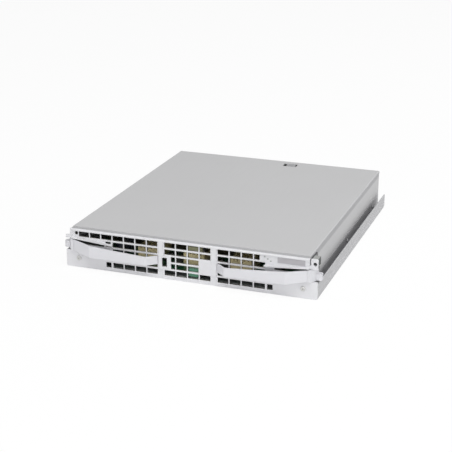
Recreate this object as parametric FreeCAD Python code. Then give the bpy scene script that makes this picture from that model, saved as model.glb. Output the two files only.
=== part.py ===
import FreeCAD, Part
import math
import os

# Switch fabric module: a full-width plug-in tray for a network chassis.
# X runs along the front from left to right, Y from the front panel to the back, Z up.
# The origin is the middle of the tray's underside. All sizes are in millimetres.

# overall body
body_width = 402.0
body_depth = 467.0
body_height = 70.0
panel_thickness = 3.0
seam_gap = 0.2

# side rails
rail_width = 12.0
rail_height = 25.0
rail_wall = 1.5
rail_outer_wall = 2.0
rail_groove_height = 11.0
rail_groove_width = 1.6
rail_groove_depth = 0.8
rail_lead_in = 14.0
rail_lead_rise = 3.0
rail_edge_radius = 0.7

# sheet metal
tray_sheet = 1.5
tray_wall_height = 42.0
tray_rpanel_top = 12.0
tray_bend = 1.5
cover_sheet = 1.2
cover_bend = 1.5
cover_rear_lip = 9.0
cover_clearance = 0.1
corner_flange_width = 14.0

# the lid's upper edge: a skirt that stands proud of its walls, and a lip over the front panel
lid_skirt_height = 4.2
lid_step = 0.8
lid_lap = 1.4

# window and spring catch near the back of the cover
catch_window_x = 33.0
catch_window_width = 26.0
catch_window_length = 16.0
catch_window_margin = 14.0
catch_sheet = 0.8
catch_tongue_width = 18.0
catch_foot = 9.0
catch_drop = 6.0
catch_ramp = 4.0
catch_nose = 1.0
catch_nose_drop = 0.6

# ventilation slots of the front panel
slot_width = 18.0
slot_pitch_x = 20.0
slot_bar_z = 3.0
slot_first_z = 11.0
slot_top_inset = 12.0
slot_rows = 5
middle_columns = 4
side_slot_start = 60.0
side_slot_columns = 4
top_left_columns = 7
top_right_columns = 3
half_slot_width = 9.0
half_slot_gap = 3.5
gap_slot_height = 7.0
gap_slot_inset = 57.0
gap_slot_end_inset = 5.0
gap_slot_drop = 1.0
latch_window_x = -39.0
latch_window_width = 8.0
latch_window_extra = 3.25
latch_bar_width = 7.0

# raised features of the front panel
rim_height = 3.2
rim_depth = 1.5
rim_radius = 1.2
post_x = 45.0
post_width = 8.0
brow_depth = 5.0
brow_height = 3.0
brow_clearance = 2.6
brow_inset = 73.0
brow_end_inset = 0.5
panel_flange_depth = 12.0
panel_flange_sheet = 1.5

# mounting ears at both ends of the front panel
ear_hole_radius = 3.0
ear_hole_inset = 4.5
ear_hole_drop = 12.0
ear_drop = 4.0
ear_corner = 2.5
ear_slit_width = 2.0
ear_slit_depth = 11.0
ear_notch_width = 8.0
ear_notch_depth = 11.6
sight_hole_radius = 3.0
sight_hole_inset = 7.5
sight_hole_drop = 6.5

# ejector levers
lever_tip_height = 13.5
lever_sag = 1.0
lever_skirt = 4.0
lever_tip_x = 50.0
lever_stand_off = 15.0
lever_tip_slant = 16.0
lever_bend_inset = 36.0
lever_root_inset = 2.0
lug_gap_above_rail = 1.5
lug_gap_below_hole = 6.0
lever_root_drop = 1.0
lever_root_rise = 5.0
lever_wall = 2.5
lever_bend_radius = 4.0
lever_back_gap = 0.8
lever_flange = 2.0
lever_rib_spacing = 25.0
lever_rib = 1.6
lever_rib_height = 7.0
lever_rib_back = 2.0
lever_root_reach = 1.5
lever_trim = 2.0
link_thickness = 3.0
link_foot = 1.8
link_side_share = 0.6
link_front_share = 0.8
jaw_root_share = 0.9
lever_end_gap = 0.3
pivot_inset = 5.5
pivot_depth = 6.5
pin_radius = 2.0
pin_clearance = 0.06
pin_head_radius = 3.4
pin_head_height = 1.2
barrel_radius = 3.8
jaw_reach = 11.0
jaw_step = 1.6
jaw_share = 0.55
jaw_corner_length = 3.0
jaw_corner_width = 2.2
jaw_half_width = 4.6
jaw_notch_width = 3.6
jaw_notch_depth = 4.5
cam_window_inset = 1.0
bracket_sheet = 2.0
bracket_depth = 13.0
bracket_web_depth = 34.0
bracket_web_drop = 2.0
bracket_bend = 0.6
bracket_corner = 5.0
bracket_edge_gap = 0.5
pin_tail = 0.8

# gaskets behind the ears
gasket_depth = 17.0
gasket_inset = 1.0
gasket_pin_gap = 0.4

# circuit board
board_thickness = 1.6
board_top = 14.0
board_side_gap = 6.0
board_front_gap = 10.0
board_rear_gap = 3.0
standoff_radius = 3.5
standoff_bore = 1.45
standoff_bore_depth = 7.0
standoff_columns = 3
standoff_rows = 2
standoff_margin = 14.0
board_screw_head = 3.0
board_screw_head_height = 1.8
board_hole_radius = 1.7
board_corner = 4.0

# switching chips and their heat sinks
chip_size = 42.0
chip_height = 3.4
chip_lid_size = 34.0
chip_lid_height = 1.2
chip_spacing_x = 168.0
chip_spacing_y = 128.0
chip_row_middle_y = 22.0
sink_width = 92.0
sink_length = 84.0
sink_base = 5.0
sink_height = 34.0
sink_fins = 13
sink_fin = 1.4
sink_pin_radius = 1.5
sink_pin_head = 3.2
sink_pin_head_height = 2.0
sink_pin_inset = 5.0
sink_pin_clearance = 0.3
sink_pin_pocket = 1.6

# power modules near the front
power_width = 36.0
power_length = 58.0
power_height = 22.0
power_rib_count = 6
power_rib = 2.0
power_rib_depth = 2.0
power_places = (-82.0, -2.0, 78.0)
power_screw_gap = 3.0
power_corner = 1.5

# reservoir capacitors, three on each side
capacitor_radius = 8.0
capacitor_height = 22.0
capacitor_chamfer = 1.0
capacitor_pitch = 21.0
capacitor_start_x = 134.0

# connectors at the back edge
connector_width = 26.0
connector_pitch = 34.0
connector_end_gap = 6.0
connector_length = 24.0
connector_height = 22.0
connector_slots = 5
connector_slot = 2.2
connector_slot_depth = 9.0
connector_chamfer = 1.2
connector_wall = 2.0
connector_margin = 4.0
power_inlet_width = 28.0
power_inlet_height = 18.0
power_inlet_blades = 4
power_blade_slot = 3.0
power_inlet_gap = 2.0
power_inlet_wall = 3.0
power_inlet_margin = 5.0
power_inlet_corner = 2.0

# guide sockets that take the pins of the chassis
guide_width = 18.0
guide_length = 26.0
guide_height = 20.0
guide_bore_radius = 4.0
guide_bore_length = 18.0
guide_mouth = 2.0
guide_side_gap = 4.4
guide_corner = 3.0

# status lamps and blank label plate
lamp_count = 3
lamp_radius = 1.3
lamp_clearance = 0.1
lamp_inset = 73.0
lamp_above_row = 2.5
lamp_step_x = 5.0
lamp_step_z = 3.2
lamp_length = 14.0
lamp_block_depth = 4.0
lamp_block_margin = 3.0
lamp_tip = 0.8
label_width = 44.0
label_height = 9.0
label_thickness = 0.5
label_inset = 30.0
label_brow_gap = 0.2

# stiffening bar across the tray behind the front panel
bar_sheet = 1.5
bar_height = 26.0
bar_foot = 10.0
bar_bend = 1.5
bar_gap = 6.0
bar_end_gap = 6.0
bar_end_margin = 24.0
bar_notch_count = 9
bar_notch_width = 22.0
bar_notch_height = 9.0

# fasteners
cover_screw_radius = 1.5
cover_screw_head = 3.0
cover_screw_count = 2
cover_screw_z = 34.0
cover_screw_margin = 60.0
panel_screw_radius = 2.0
panel_screw_head = 4.0
panel_screw_head_height = 2.2
panel_screw_z = 16.0
panel_screw_edge = 0.9
panel_screw_tail = 4.0
rivet_radius = 1.6
rivet_head = 3.0
rivet_head_height = 0.9
rivet_tail = 0.6
rivet_count = 3
rivet_margin = 44.0
rivet_z = 13.0
fit_gap = 0.1
screw_tail = 2.5
over_cut = 1.0
root_cut = 0.5
touch = 1e-3

# places worked out from the sizes above
half_body = body_width / 2
front_y = -body_depth / 2
rear_y = body_depth / 2
panel_front_y = front_y - panel_thickness
half_width = half_body + rail_width
half_wall = half_body - lid_step
half_tray = half_wall - cover_sheet - cover_clearance
cover_front_y = front_y + seam_gap
board_bottom = board_top - board_thickness
half_board = half_tray - tray_sheet - board_side_gap
board_front_y = front_y + board_front_gap
board_rear_y = rear_y - board_rear_gap
power_front_y = board_front_y + standoff_margin + board_screw_head + power_screw_gap
pivot_x = half_width - pivot_inset
pivot_y = front_y + pivot_depth
sink_bottom = board_top + chip_height + chip_lid_height
panel_top = body_height - ear_drop
lip_bottom = panel_top - lid_lap
flange_top = lip_bottom - seam_gap
skirt_bottom = body_height - lid_skirt_height
slot_pitch_z = (body_height - slot_top_inset - slot_first_z) / (slot_rows - 1)
slot_height = slot_pitch_z - slot_bar_z
ear_hole_z = body_height - ear_hole_drop
ear_hole_x = half_width - ear_hole_inset
lug_gap_bottom = rail_height + bracket_sheet + lug_gap_above_rail
lug_gap_top = ear_hole_z - ear_hole_radius - lug_gap_below_hole
lever_bottom = lug_gap_bottom - lever_skirt
lever_top_root = lug_gap_top - lever_root_drop
lever_top_tip = lever_bottom + lever_tip_height
lever_top_middle = (lever_top_tip + lever_top_root) / 2 - lever_sag
lever_bend_x = half_body - lever_bend_inset
lever_root_x = half_body - lever_root_inset
cam_window_inner = half_body - cam_window_inset
guide_x = half_board - guide_side_gap - guide_width / 2
connector_reach = guide_x - guide_width / 2 - power_inlet_gap - power_inlet_width - connector_end_gap
connector_count = int((2 * connector_reach - connector_width) / connector_pitch) + 1
panel_screw_x = half_tray - tray_sheet - corner_flange_width / 2
panel_flange_side = half_tray - tray_sheet - corner_flange_width - fit_gap

V = FreeCAD.Vector


def box(x0, x1, y0, y1, z0, z1):
    """A block between two corners."""
    return Part.makeBox(x1 - x0, y1 - y0, z1 - z0, V(x0, y0, z0))


def rod(x, y, z, radius, length, direction=(0, 0, 1)):
    """A round bar that starts at a point and runs along a direction."""
    return Part.makeCylinder(radius, length, V(x, y, z), V(*direction))


def mirrored(shape):
    """The same piece for the other side of the module."""
    return shape.mirror(V(0, 0, 0), V(1, 0, 0))


def place(u, v, w, plane):
    """A point of a flat outline, with w along the plane's normal."""
    return {"xy": V(u, v, w), "xz": V(u, w, v), "yz": V(w, u, v)}[plane]


def prism(outline, plane, start, end):
    """An outline pushed from start to end along the plane's normal."""
    points = [place(u, v, start, plane) for u, v in outline]
    face = Part.Face(Part.makePolygon(points + points[:1]))
    return face.extrude(place(0, 0, end - start, plane))


def offset_path(path, distance):
    """An open path moved sideways to its left, with sharp corners kept sharp."""
    normals = []
    for (u0, v0), (u1, v1) in zip(path, path[1:]):
        length = math.hypot(u1 - u0, v1 - v0)
        normals.append((-(v1 - v0) / length, (u1 - u0) / length))
    moved = []
    for index, (u, v) in enumerate(path):
        before = normals[max(index - 1, 0)]
        after = normals[min(index, len(normals) - 1)]
        spread = 1 + before[0] * after[0] + before[1] * after[1]
        shift_u = (before[0] + after[0]) / spread * distance
        shift_v = (before[1] + after[1]) / spread * distance
        moved.append((u + shift_u, v + shift_v))
    return moved


def rounded(solid, plane, spots, radius):
    """Rounds the edges along the plane's normal that stand at the given spots."""
    direction = place(0, 0, 1, plane)
    chosen = []
    for edge in solid.Edges:
        first = edge.Vertexes[0].Point
        last = edge.Vertexes[-1].Point
        run = last.sub(first)
        if run.Length < touch or abs(run.normalize().dot(direction)) < 1 - touch:
            continue
        for u, v in spots:
            mark = place(u, v, 0, plane)
            flat = first.sub(direction * first.dot(direction))
            if flat.distanceToPoint(mark) < touch:
                chosen.append(edge)
                break
    return solid.makeFillet(radius, chosen) if chosen else solid


def bent_sheet(path, thickness, bend, plane, start, end):
    """Sheet of even thickness, folded along a path that is its right-hand skin."""
    other = offset_path(path, thickness)
    solid = prism(path + other[::-1], plane, start, end)
    inner = []
    outer = []
    for index in range(1, len(path) - 1):
        (u0, v0), (u1, v1), (u2, v2) = path[index - 1:index + 2]
        turns_left = (u1 - u0) * (v2 - v1) - (v1 - v0) * (u2 - u1) > 0
        inner.append(other[index] if turns_left else path[index])
        outer.append(path[index] if turns_left else other[index])
    solid = rounded(solid, plane, inner, bend)
    return rounded(solid, plane, outer, bend + thickness)


def fused(shapes):
    """Several shapes as one solid."""
    result = shapes[0].multiFuse(shapes[1:]) if len(shapes) > 1 else shapes[0]
    return result.removeSplitter()


def cut_all(shape, tools):
    """A shape with every tool cut away."""
    return shape.cut(Part.makeCompound(tools)) if tools else shape


def spread(count, first, last):
    """Evenly spaced places from first to last."""
    if count == 1:
        return [(first + last) / 2]
    return [first + (last - first) * index / (count - 1) for index in range(count)]


def save(name, shape):
    """Writes one node; a node of several solids is a group of like pieces."""
    solids = shape.Solids
    one = solids[0] if len(solids) == 1 else Part.makeCompound(solids)
    one.exportStep(os.path.join("parts", name + ".step"))


# places that several pieces share

def cover_screw_places():
    """Places of the lid's screws along either wall."""
    return spread(cover_screw_count, front_y + cover_screw_margin, rear_y - cover_screw_margin)


def rivet_places():
    """Places of the rivets along either rail."""
    return spread(rivet_count, front_y + rivet_margin, rear_y - rivet_margin)


def standoff_places():
    """Places of the board's spacers and screws."""
    edge_x = half_board - standoff_margin
    first_y = board_front_y + standoff_margin
    last_y = board_rear_y - connector_length - standoff_margin
    return [
        (x, y)
        for x in spread(standoff_columns, -edge_x, edge_x)
        for y in spread(standoff_rows, first_y, last_y)
    ]


def chip_places():
    """Middles of the four switching chips."""
    return [
        (sign_x * chip_spacing_x / 2, chip_row_middle_y + sign_y * chip_spacing_y / 2)
        for sign_y in (-1, 1)
        for sign_x in (-1, 1)
    ]


def sink_pin_places(x, y):
    """Two opposite corners of a heat sink, where its screws stand."""
    reach_x = sink_width / 2 - sink_pin_inset
    reach_y = sink_length / 2 - sink_pin_inset
    return [(x - reach_x, y - reach_y), (x + reach_x, y + reach_y)]


def lamp_places():
    """The slanting row of status lamps."""
    start_x = half_body - lamp_inset
    start_z = row_z(slot_rows - 1) + lamp_above_row
    return [(start_x + lamp_step_x * index, start_z - lamp_step_z * index)
            for index in range(lamp_count)]


def connector_places():
    """Middles of the connectors along the back edge."""
    reach = connector_pitch * (connector_count - 1) / 2
    return spread(connector_count, -reach, reach)


# folded base tray

def make_base_tray():
    """Floor and side walls in one sheet, with a low rear wall and two front corner flanges."""
    wall = tray_wall_height
    path = [(-half_tray, wall), (-half_tray, 0), (half_tray, 0), (half_tray, wall)]
    tray = bent_sheet(path, tray_sheet, tray_bend, "xz", front_y, rear_y)
    rear = box(-half_tray + tray_sheet, half_tray - tray_sheet, rear_y - tray_sheet, rear_y,
               tray_sheet / 2, tray_rpanel_top)
    flanges = []
    for side in (-1, 1):
        inner = side * (half_tray - tray_sheet - corner_flange_width)
        outer = side * (half_tray - tray_sheet / 2)
        flanges.append(box(min(inner, outer), max(inner, outer), front_y, front_y + tray_sheet,
                           tray_sheet / 2, tray_wall_height - tray_sheet))
    tray = fused([tray, rear] + flanges)
    holes = []
    for side in (-1, 1):
        holes.append(rod(side * panel_screw_x, front_y - over_cut, panel_screw_z,
                         panel_screw_radius + fit_gap, tray_sheet + 2 * over_cut, (0, 1, 0)))
        for y in cover_screw_places():
            holes.append(rod(side * (half_tray + over_cut), y, cover_screw_z,
                             cover_screw_radius + fit_gap, tray_sheet + 2 * over_cut, (-side, 0, 0)))
        for y in rivet_places():
            holes.append(rod(side * (half_tray + over_cut), y, rivet_z,
                             rivet_radius + fit_gap, tray_sheet + 2 * over_cut, (-side, 0, 0)))
    return cut_all(tray, holes)


# folded lid

def make_top_cover():
    """Top and both side walls in one sheet; the upper edge is a skirt that stands proud."""
    bottom = rail_height + seam_gap
    side = [(half_wall, bottom), (half_wall, skirt_bottom - lid_step), (half_body, skirt_bottom),
            (half_body, body_height)]
    path = side + [(-x, z) for x, z in reversed(side)]
    inner = offset_path(path, cover_sheet)
    cover = prism(path + inner[::-1], "xz", cover_front_y, rear_y)
    cover = rounded(cover, "xz", [(-half_body, body_height), (half_body, body_height)],
                    cover_bend + cover_sheet / 2)
    cover = rounded(cover, "xz", inner[3:5], cover_bend / 2)
    lip_side = half_body - cover_sheet
    under = body_height - cover_sheet / 2
    rear_lip = box(-lip_side, lip_side, rear_y - cover_sheet, rear_y, body_height - cover_rear_lip, under)
    front_lip = box(-lip_side, lip_side, cover_front_y, cover_front_y + cover_sheet, lip_bottom, under)
    cover = fused([cover, rear_lip, front_lip])
    edges = []
    for edge in cover.Edges:
        ends = [vertex.Point for vertex in edge.Vertexes]
        on_top = all(abs(point.z - body_height) < touch for point in ends)
        at_end = all(abs(point.y - rear_y) < touch for point in ends)
        at_front = all(abs(point.y - cover_front_y) < touch for point in ends)
        if edge.Length > body_width / 2 and on_top and (at_end or at_front):
            edges.append(edge)
    cover = cover.makeFillet(cover_sheet / 2, edges)
    tools = [catch_window()]
    for side in (-1, 1):
        for y in cover_screw_places():
            tools.append(screw_cone(side, y))
    return cut_all(cover, tools)


def catch_window():
    """Cutter for the small window above the spring tongue."""
    far = rear_y - catch_window_margin
    left = catch_window_x - catch_window_width / 2
    return box(left, left + catch_window_width, far - catch_window_length, far,
               body_height - 2 * cover_sheet, body_height + cover_sheet)


def screw_cone(side, y, grow=fit_gap):
    """The countersunk form of a cover screw, with its shank."""
    cone = Part.makeCone(cover_screw_head + grow, cover_screw_radius + grow, cover_sheet,
                         V(side * half_wall, y, cover_screw_z), V(-side, 0, 0))
    shank = rod(side * half_wall, y, cover_screw_z, cover_screw_radius + grow,
                cover_sheet + cover_clearance + tray_sheet + screw_tail, (-side, 0, 0))
    return cone.fuse(shank)


def make_cover_catch():
    """Spring tongue under the window, riveted under the lid."""
    far = rear_y - catch_window_margin
    near = far - catch_window_length
    under = body_height - cover_sheet
    low = under - catch_drop
    path = [(near - catch_foot, under - catch_sheet), (near + catch_ramp / 2, under - catch_sheet),
            (near + catch_ramp + catch_ramp / 2, low), (far - catch_ramp, low),
            (far - catch_nose, body_height - catch_nose_drop)]
    left = catch_window_x - catch_tongue_width / 2
    return bent_sheet(path, catch_sheet, catch_sheet, "yz", left, left + catch_tongue_width)


# side rails

def make_guide_rail():
    """The right rail: an open channel with a groove along its outer face."""
    inner = half_tray
    outline = [
        (inner, 0), (half_width, 0),
        (half_width, rail_groove_height - rail_groove_width / 2),
        (half_width - rail_groove_depth, rail_groove_height),
        (half_width, rail_groove_height + rail_groove_width / 2),
        (half_width, rail_height), (half_width - rail_outer_wall, rail_height),
        (half_width - rail_outer_wall, rail_wall), (inner + rail_wall, rail_wall),
        (inner + rail_wall, rail_height), (inner, rail_height),
    ]
    rail = prism(outline, "xz", front_y, rear_y)
    top_spots = [(half_width, rail_height), (half_width - rail_outer_wall, rail_height)]
    rail = rounded(rail, "xz", top_spots, rail_edge_radius)
    rail = rounded(rail, "xz", [(half_width, 0)], rail_wall)
    slope = prism([(rear_y - rail_lead_in, 0), (rear_y - rail_lead_in, -over_cut),
                   (rear_y + over_cut, -over_cut), (rear_y + over_cut, rail_lead_rise),
                   (rear_y, rail_lead_rise)], "yz", half_body, half_width + over_cut)
    holes = [rod(inner - over_cut, y, rivet_z, rivet_radius + fit_gap, rail_wall + 2 * over_cut, (1, 0, 0))
             for y in rivet_places()]
    return cut_all(rail, [slope] + holes)


def make_rivets():
    """Blind rivets that hold both rails to the tray's walls."""
    rivets = []
    for y in rivet_places():
        length = rivet_tail + tray_sheet + rail_wall
        shank = rod(half_tray - tray_sheet - rivet_tail, y, rivet_z, rivet_radius, length, (1, 0, 0))
        head = rod(half_tray + rail_wall, y, rivet_z, rivet_head, rivet_head_height, (1, 0, 0))
        rivet = head.fuse(shank).removeSplitter()
        rivets.append(rivet)
        rivets.append(mirrored(rivet))
    return Part.makeCompound(rivets)


def make_cover_screws():
    """Countersunk screws through the lid's walls into the tray."""
    return Part.makeCompound([screw_cone(side, y, 0.0).removeSplitter()
                              for y in cover_screw_places() for side in (-1, 1)])


# slotted front panel

def row_z(row):
    """Middle height of a row of slots; row 0 is the lowest."""
    return slot_first_z + slot_pitch_z * row


def slot_at(x, z, width=slot_width, height=slot_height):
    """A cutter that goes right through the panel and its raised features."""
    return box(x - width / 2, x + width / 2, panel_front_y - rim_depth - over_cut, front_y + over_cut,
               z - height / 2, z + height / 2)


def vent_slots():
    """Cutters for every opening of the grille: rows of slots, half slots and long gaps."""
    slots = []
    top = slot_rows - 1
    middle_reach = slot_pitch_x * (middle_columns - 1) / 2
    for row in range(slot_rows):
        z = row_z(row)
        for x in spread(middle_columns, -middle_reach, middle_reach):
            beside_latch = row in (top - 3, top - 2) and x < -slot_pitch_x
            blank = row in (top - 3, top - 2) and x > slot_pitch_x
            if beside_latch:
                right = x + slot_width / 2
                left = latch_window_x + latch_window_width / 2 + latch_bar_width
                slots.append(slot_at((left + right) / 2, z, right - left))
            elif not blank:
                slots.append(slot_at(x, z))
        left_columns = top_left_columns if row == top else side_slot_columns
        right_columns = top_right_columns if row == top else side_slot_columns
        for column in range(left_columns):
            slots.append(slot_at(-side_slot_start - column * slot_pitch_x, z))
        for column in range(right_columns):
            slots.append(slot_at(side_slot_start + column * slot_pitch_x, z))
    after_last = side_slot_start + (side_slot_columns - 1) * slot_pitch_x + slot_width / 2
    half_x = after_last + half_slot_gap + half_slot_width / 2
    for side in (-1, 1):
        slots.append(slot_at(side * half_x, row_z(0), half_slot_width))
    slots.append(slot_at(-half_x, row_z(top - 1), half_slot_width))
    cut_x = side_slot_start + top_right_columns * slot_pitch_x - slot_width / 2 + half_slot_width / 2
    slots.append(slot_at(cut_x, row_z(top), half_slot_width))
    slots.append(slot_at(latch_window_x, (row_z(1) + row_z(2)) / 2,
                         latch_window_width, slot_pitch_z + latch_window_extra))
    gap_start = half_body - gap_slot_inset
    gap_end = half_body - gap_slot_end_inset
    gap_z = lug_gap_top - gap_slot_height / 2 - gap_slot_drop
    for side in (-1, 1):
        slots.append(slot_at(side * (gap_start + gap_end) / 2, gap_z, gap_end - gap_start,
                             gap_slot_height))
    return slots


def arc_band(points, height, start, end):
    """A strip whose lower edge is the arc through three points, pushed along Y."""
    (x0, z0), (x1, z1), (x2, z2) = points
    low = Part.Arc(V(x0, start, z0), V(x1, start, z1), V(x2, start, z2)).toShape()
    high = Part.Arc(V(x0, start, z0 + height), V(x1, start, z1 + height),
                    V(x2, start, z2 + height)).toShape()
    left = Part.makeLine(V(x0, start, z0), V(x0, start, z0 + height))
    right = Part.makeLine(V(x2, start, z2), V(x2, start, z2 + height))
    face = Part.Face(Part.Wire(Part.__sortEdges__([low, right, high, left])))
    return face.extrude(V(0, end - start, 0))


def lever_top_at(x):
    """Height of a lever's upper edge, on the parabola through its three set heights."""
    middle = (lever_tip_x + lever_root_x) / 2
    half = (lever_root_x - lever_tip_x) / 2
    t = (x - middle) / half
    bow = (lever_top_tip + lever_top_root) / 2 - lever_top_middle
    return lever_top_middle + (lever_top_root - lever_top_tip) / 2 * t + bow * t * t


def make_front_panel():
    """Slotted plate with a top rim, two posts, two brows, an ear at each end and two flanges."""
    plate = box(-half_width, half_width, panel_front_y, front_y, 0, panel_top)
    corners = [(half_width, panel_top), (half_width, 0), (-half_width, 0)]
    pieces = [rounded(plate, "xz", corners, ear_corner)]
    for side in (-1, 1):
        brow_start = half_body - brow_inset
        brow_end = half_body - brow_end_inset
        brow_middle = (brow_start + brow_end) / 2
        arc = [(side * x, lever_top_at(x) + brow_clearance)
               for x in (brow_start, brow_middle, brow_end)]
        pieces.append(arc_band(arc, brow_height, panel_front_y - brow_depth, front_y - root_cut))
        pieces.append(box(side * post_x - post_width / 2, side * post_x + post_width / 2,
                          panel_front_y - rim_depth, front_y - root_cut,
                          row_z(0) + slot_height / 2 + slot_bar_z / 2, panel_top - rim_height / 2))
    rim = box(-half_body, half_body, panel_front_y - rim_depth, front_y - root_cut,
              panel_top - rim_height, panel_top)
    pieces.append(rounded(rim, "yz", [(panel_front_y - rim_depth, panel_top)], rim_radius))
    for top in (flange_top, tray_sheet + panel_flange_sheet):
        pieces.append(box(-panel_flange_side, panel_flange_side, front_y - root_cut,
                          front_y + panel_flange_depth, top - panel_flange_sheet, top))
    panel = fused(pieces)
    through = panel_thickness + 2 * over_cut
    start = panel_front_y - over_cut
    tools = vent_slots()
    for side in (-1, 1):
        inner = side * cam_window_inner
        outer = side * (half_width + over_cut)
        tools.append(box(min(inner, outer), max(inner, outer), start - brow_depth, front_y + over_cut,
                         lug_gap_bottom - seam_gap, lug_gap_top + seam_gap))
        tools.append(rod(side * panel_screw_x, start, panel_screw_z,
                         panel_screw_radius + fit_gap, through, (0, 1, 0)))
    tools.append(rod(ear_hole_x, start, ear_hole_z, ear_hole_radius, through, (0, 1, 0)))
    tools.append(rod(-half_body + sight_hole_inset, start, panel_top - sight_hole_drop,
                     sight_hole_radius, through, (0, 1, 0)))
    tools.append(box(half_body - ear_slit_width / 2, half_body + ear_slit_width / 2,
                     start - rim_depth, front_y + over_cut, panel_top - ear_slit_depth,
                     panel_top + over_cut))
    tools.append(box(-half_width - over_cut, -half_width + ear_notch_width, start, front_y + over_cut,
                     panel_top - ear_notch_depth, panel_top + over_cut))
    for x, z in lamp_places():
        tools.append(rod(x, start, z, lamp_radius + lamp_clearance, through, (0, 1, 0)))
    return cut_all(panel, tools)


def make_panel_screws():
    """Pan-head screws that hold the panel to the tray's corner flanges."""
    screws = []
    for side in (-1, 1):
        x = side * panel_screw_x
        head = rod(x, panel_front_y - panel_screw_head_height, panel_screw_z, panel_screw_head,
                   panel_screw_head_height, (0, 1, 0))
        front = [edge for edge in head.Edges
                 if edge.Curve.TypeId == "Part::GeomCircle"
                 and edge.CenterOfMass.y < panel_front_y - panel_screw_edge]
        head = head.makeChamfer(panel_screw_edge, front)
        shank = rod(x, panel_front_y - fit_gap, panel_screw_z, panel_screw_radius,
                    panel_thickness + tray_sheet + panel_screw_tail, (0, 1, 0))
        screws.append(head.fuse(shank).removeSplitter())
    return Part.makeCompound(screws)


def make_label_plate():
    """Thin bare plate on the panel's upper right, just above the brow."""
    left = half_body - label_inset - label_width / 2
    right = left + label_width
    low = lever_top_at(right) + brow_clearance + brow_height + label_brow_gap
    return box(left, right, panel_front_y - label_thickness, panel_front_y, low, low + label_height)


def make_status_lamp(x, z):
    """A light pipe with a rounded front, on its lamp block behind the panel."""
    pipe = rod(x, panel_front_y - lamp_tip, z, lamp_radius, panel_thickness + lamp_tip + lamp_length,
               (0, 1, 0))
    front = [edge for edge in pipe.Edges
             if edge.Curve.TypeId == "Part::GeomCircle" and edge.CenterOfMass.y < panel_front_y]
    return pipe.makeChamfer(lamp_radius / 2, front)


def make_lamp_holder():
    """Block behind the panel that holds the three light pipes."""
    places = lamp_places()
    low_x = min(x for x, z in places) - lamp_block_margin
    high_x = max(x for x, z in places) + lamp_block_margin
    low_z = min(z for x, z in places) - lamp_block_margin
    high_z = flange_top - panel_flange_sheet - seam_gap
    block = box(low_x, high_x, front_y, front_y + lamp_block_depth, low_z, high_z)
    holes = [rod(x, front_y - over_cut, z, lamp_radius + lamp_clearance,
                 lamp_block_depth + 2 * over_cut, (0, 1, 0)) for x, z in places]
    return cut_all(block, holes)


# ejector levers

def lever_plan():
    """Outer skin of the right lever seen from above, from its tip to its root."""
    face = panel_front_y - lever_stand_off
    back = panel_front_y - lever_back_gap
    return [(lever_tip_x, back), (lever_tip_x + lever_tip_slant, face), (lever_bend_x, face),
            (lever_root_x + lever_root_reach, back - lever_flange)]


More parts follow.
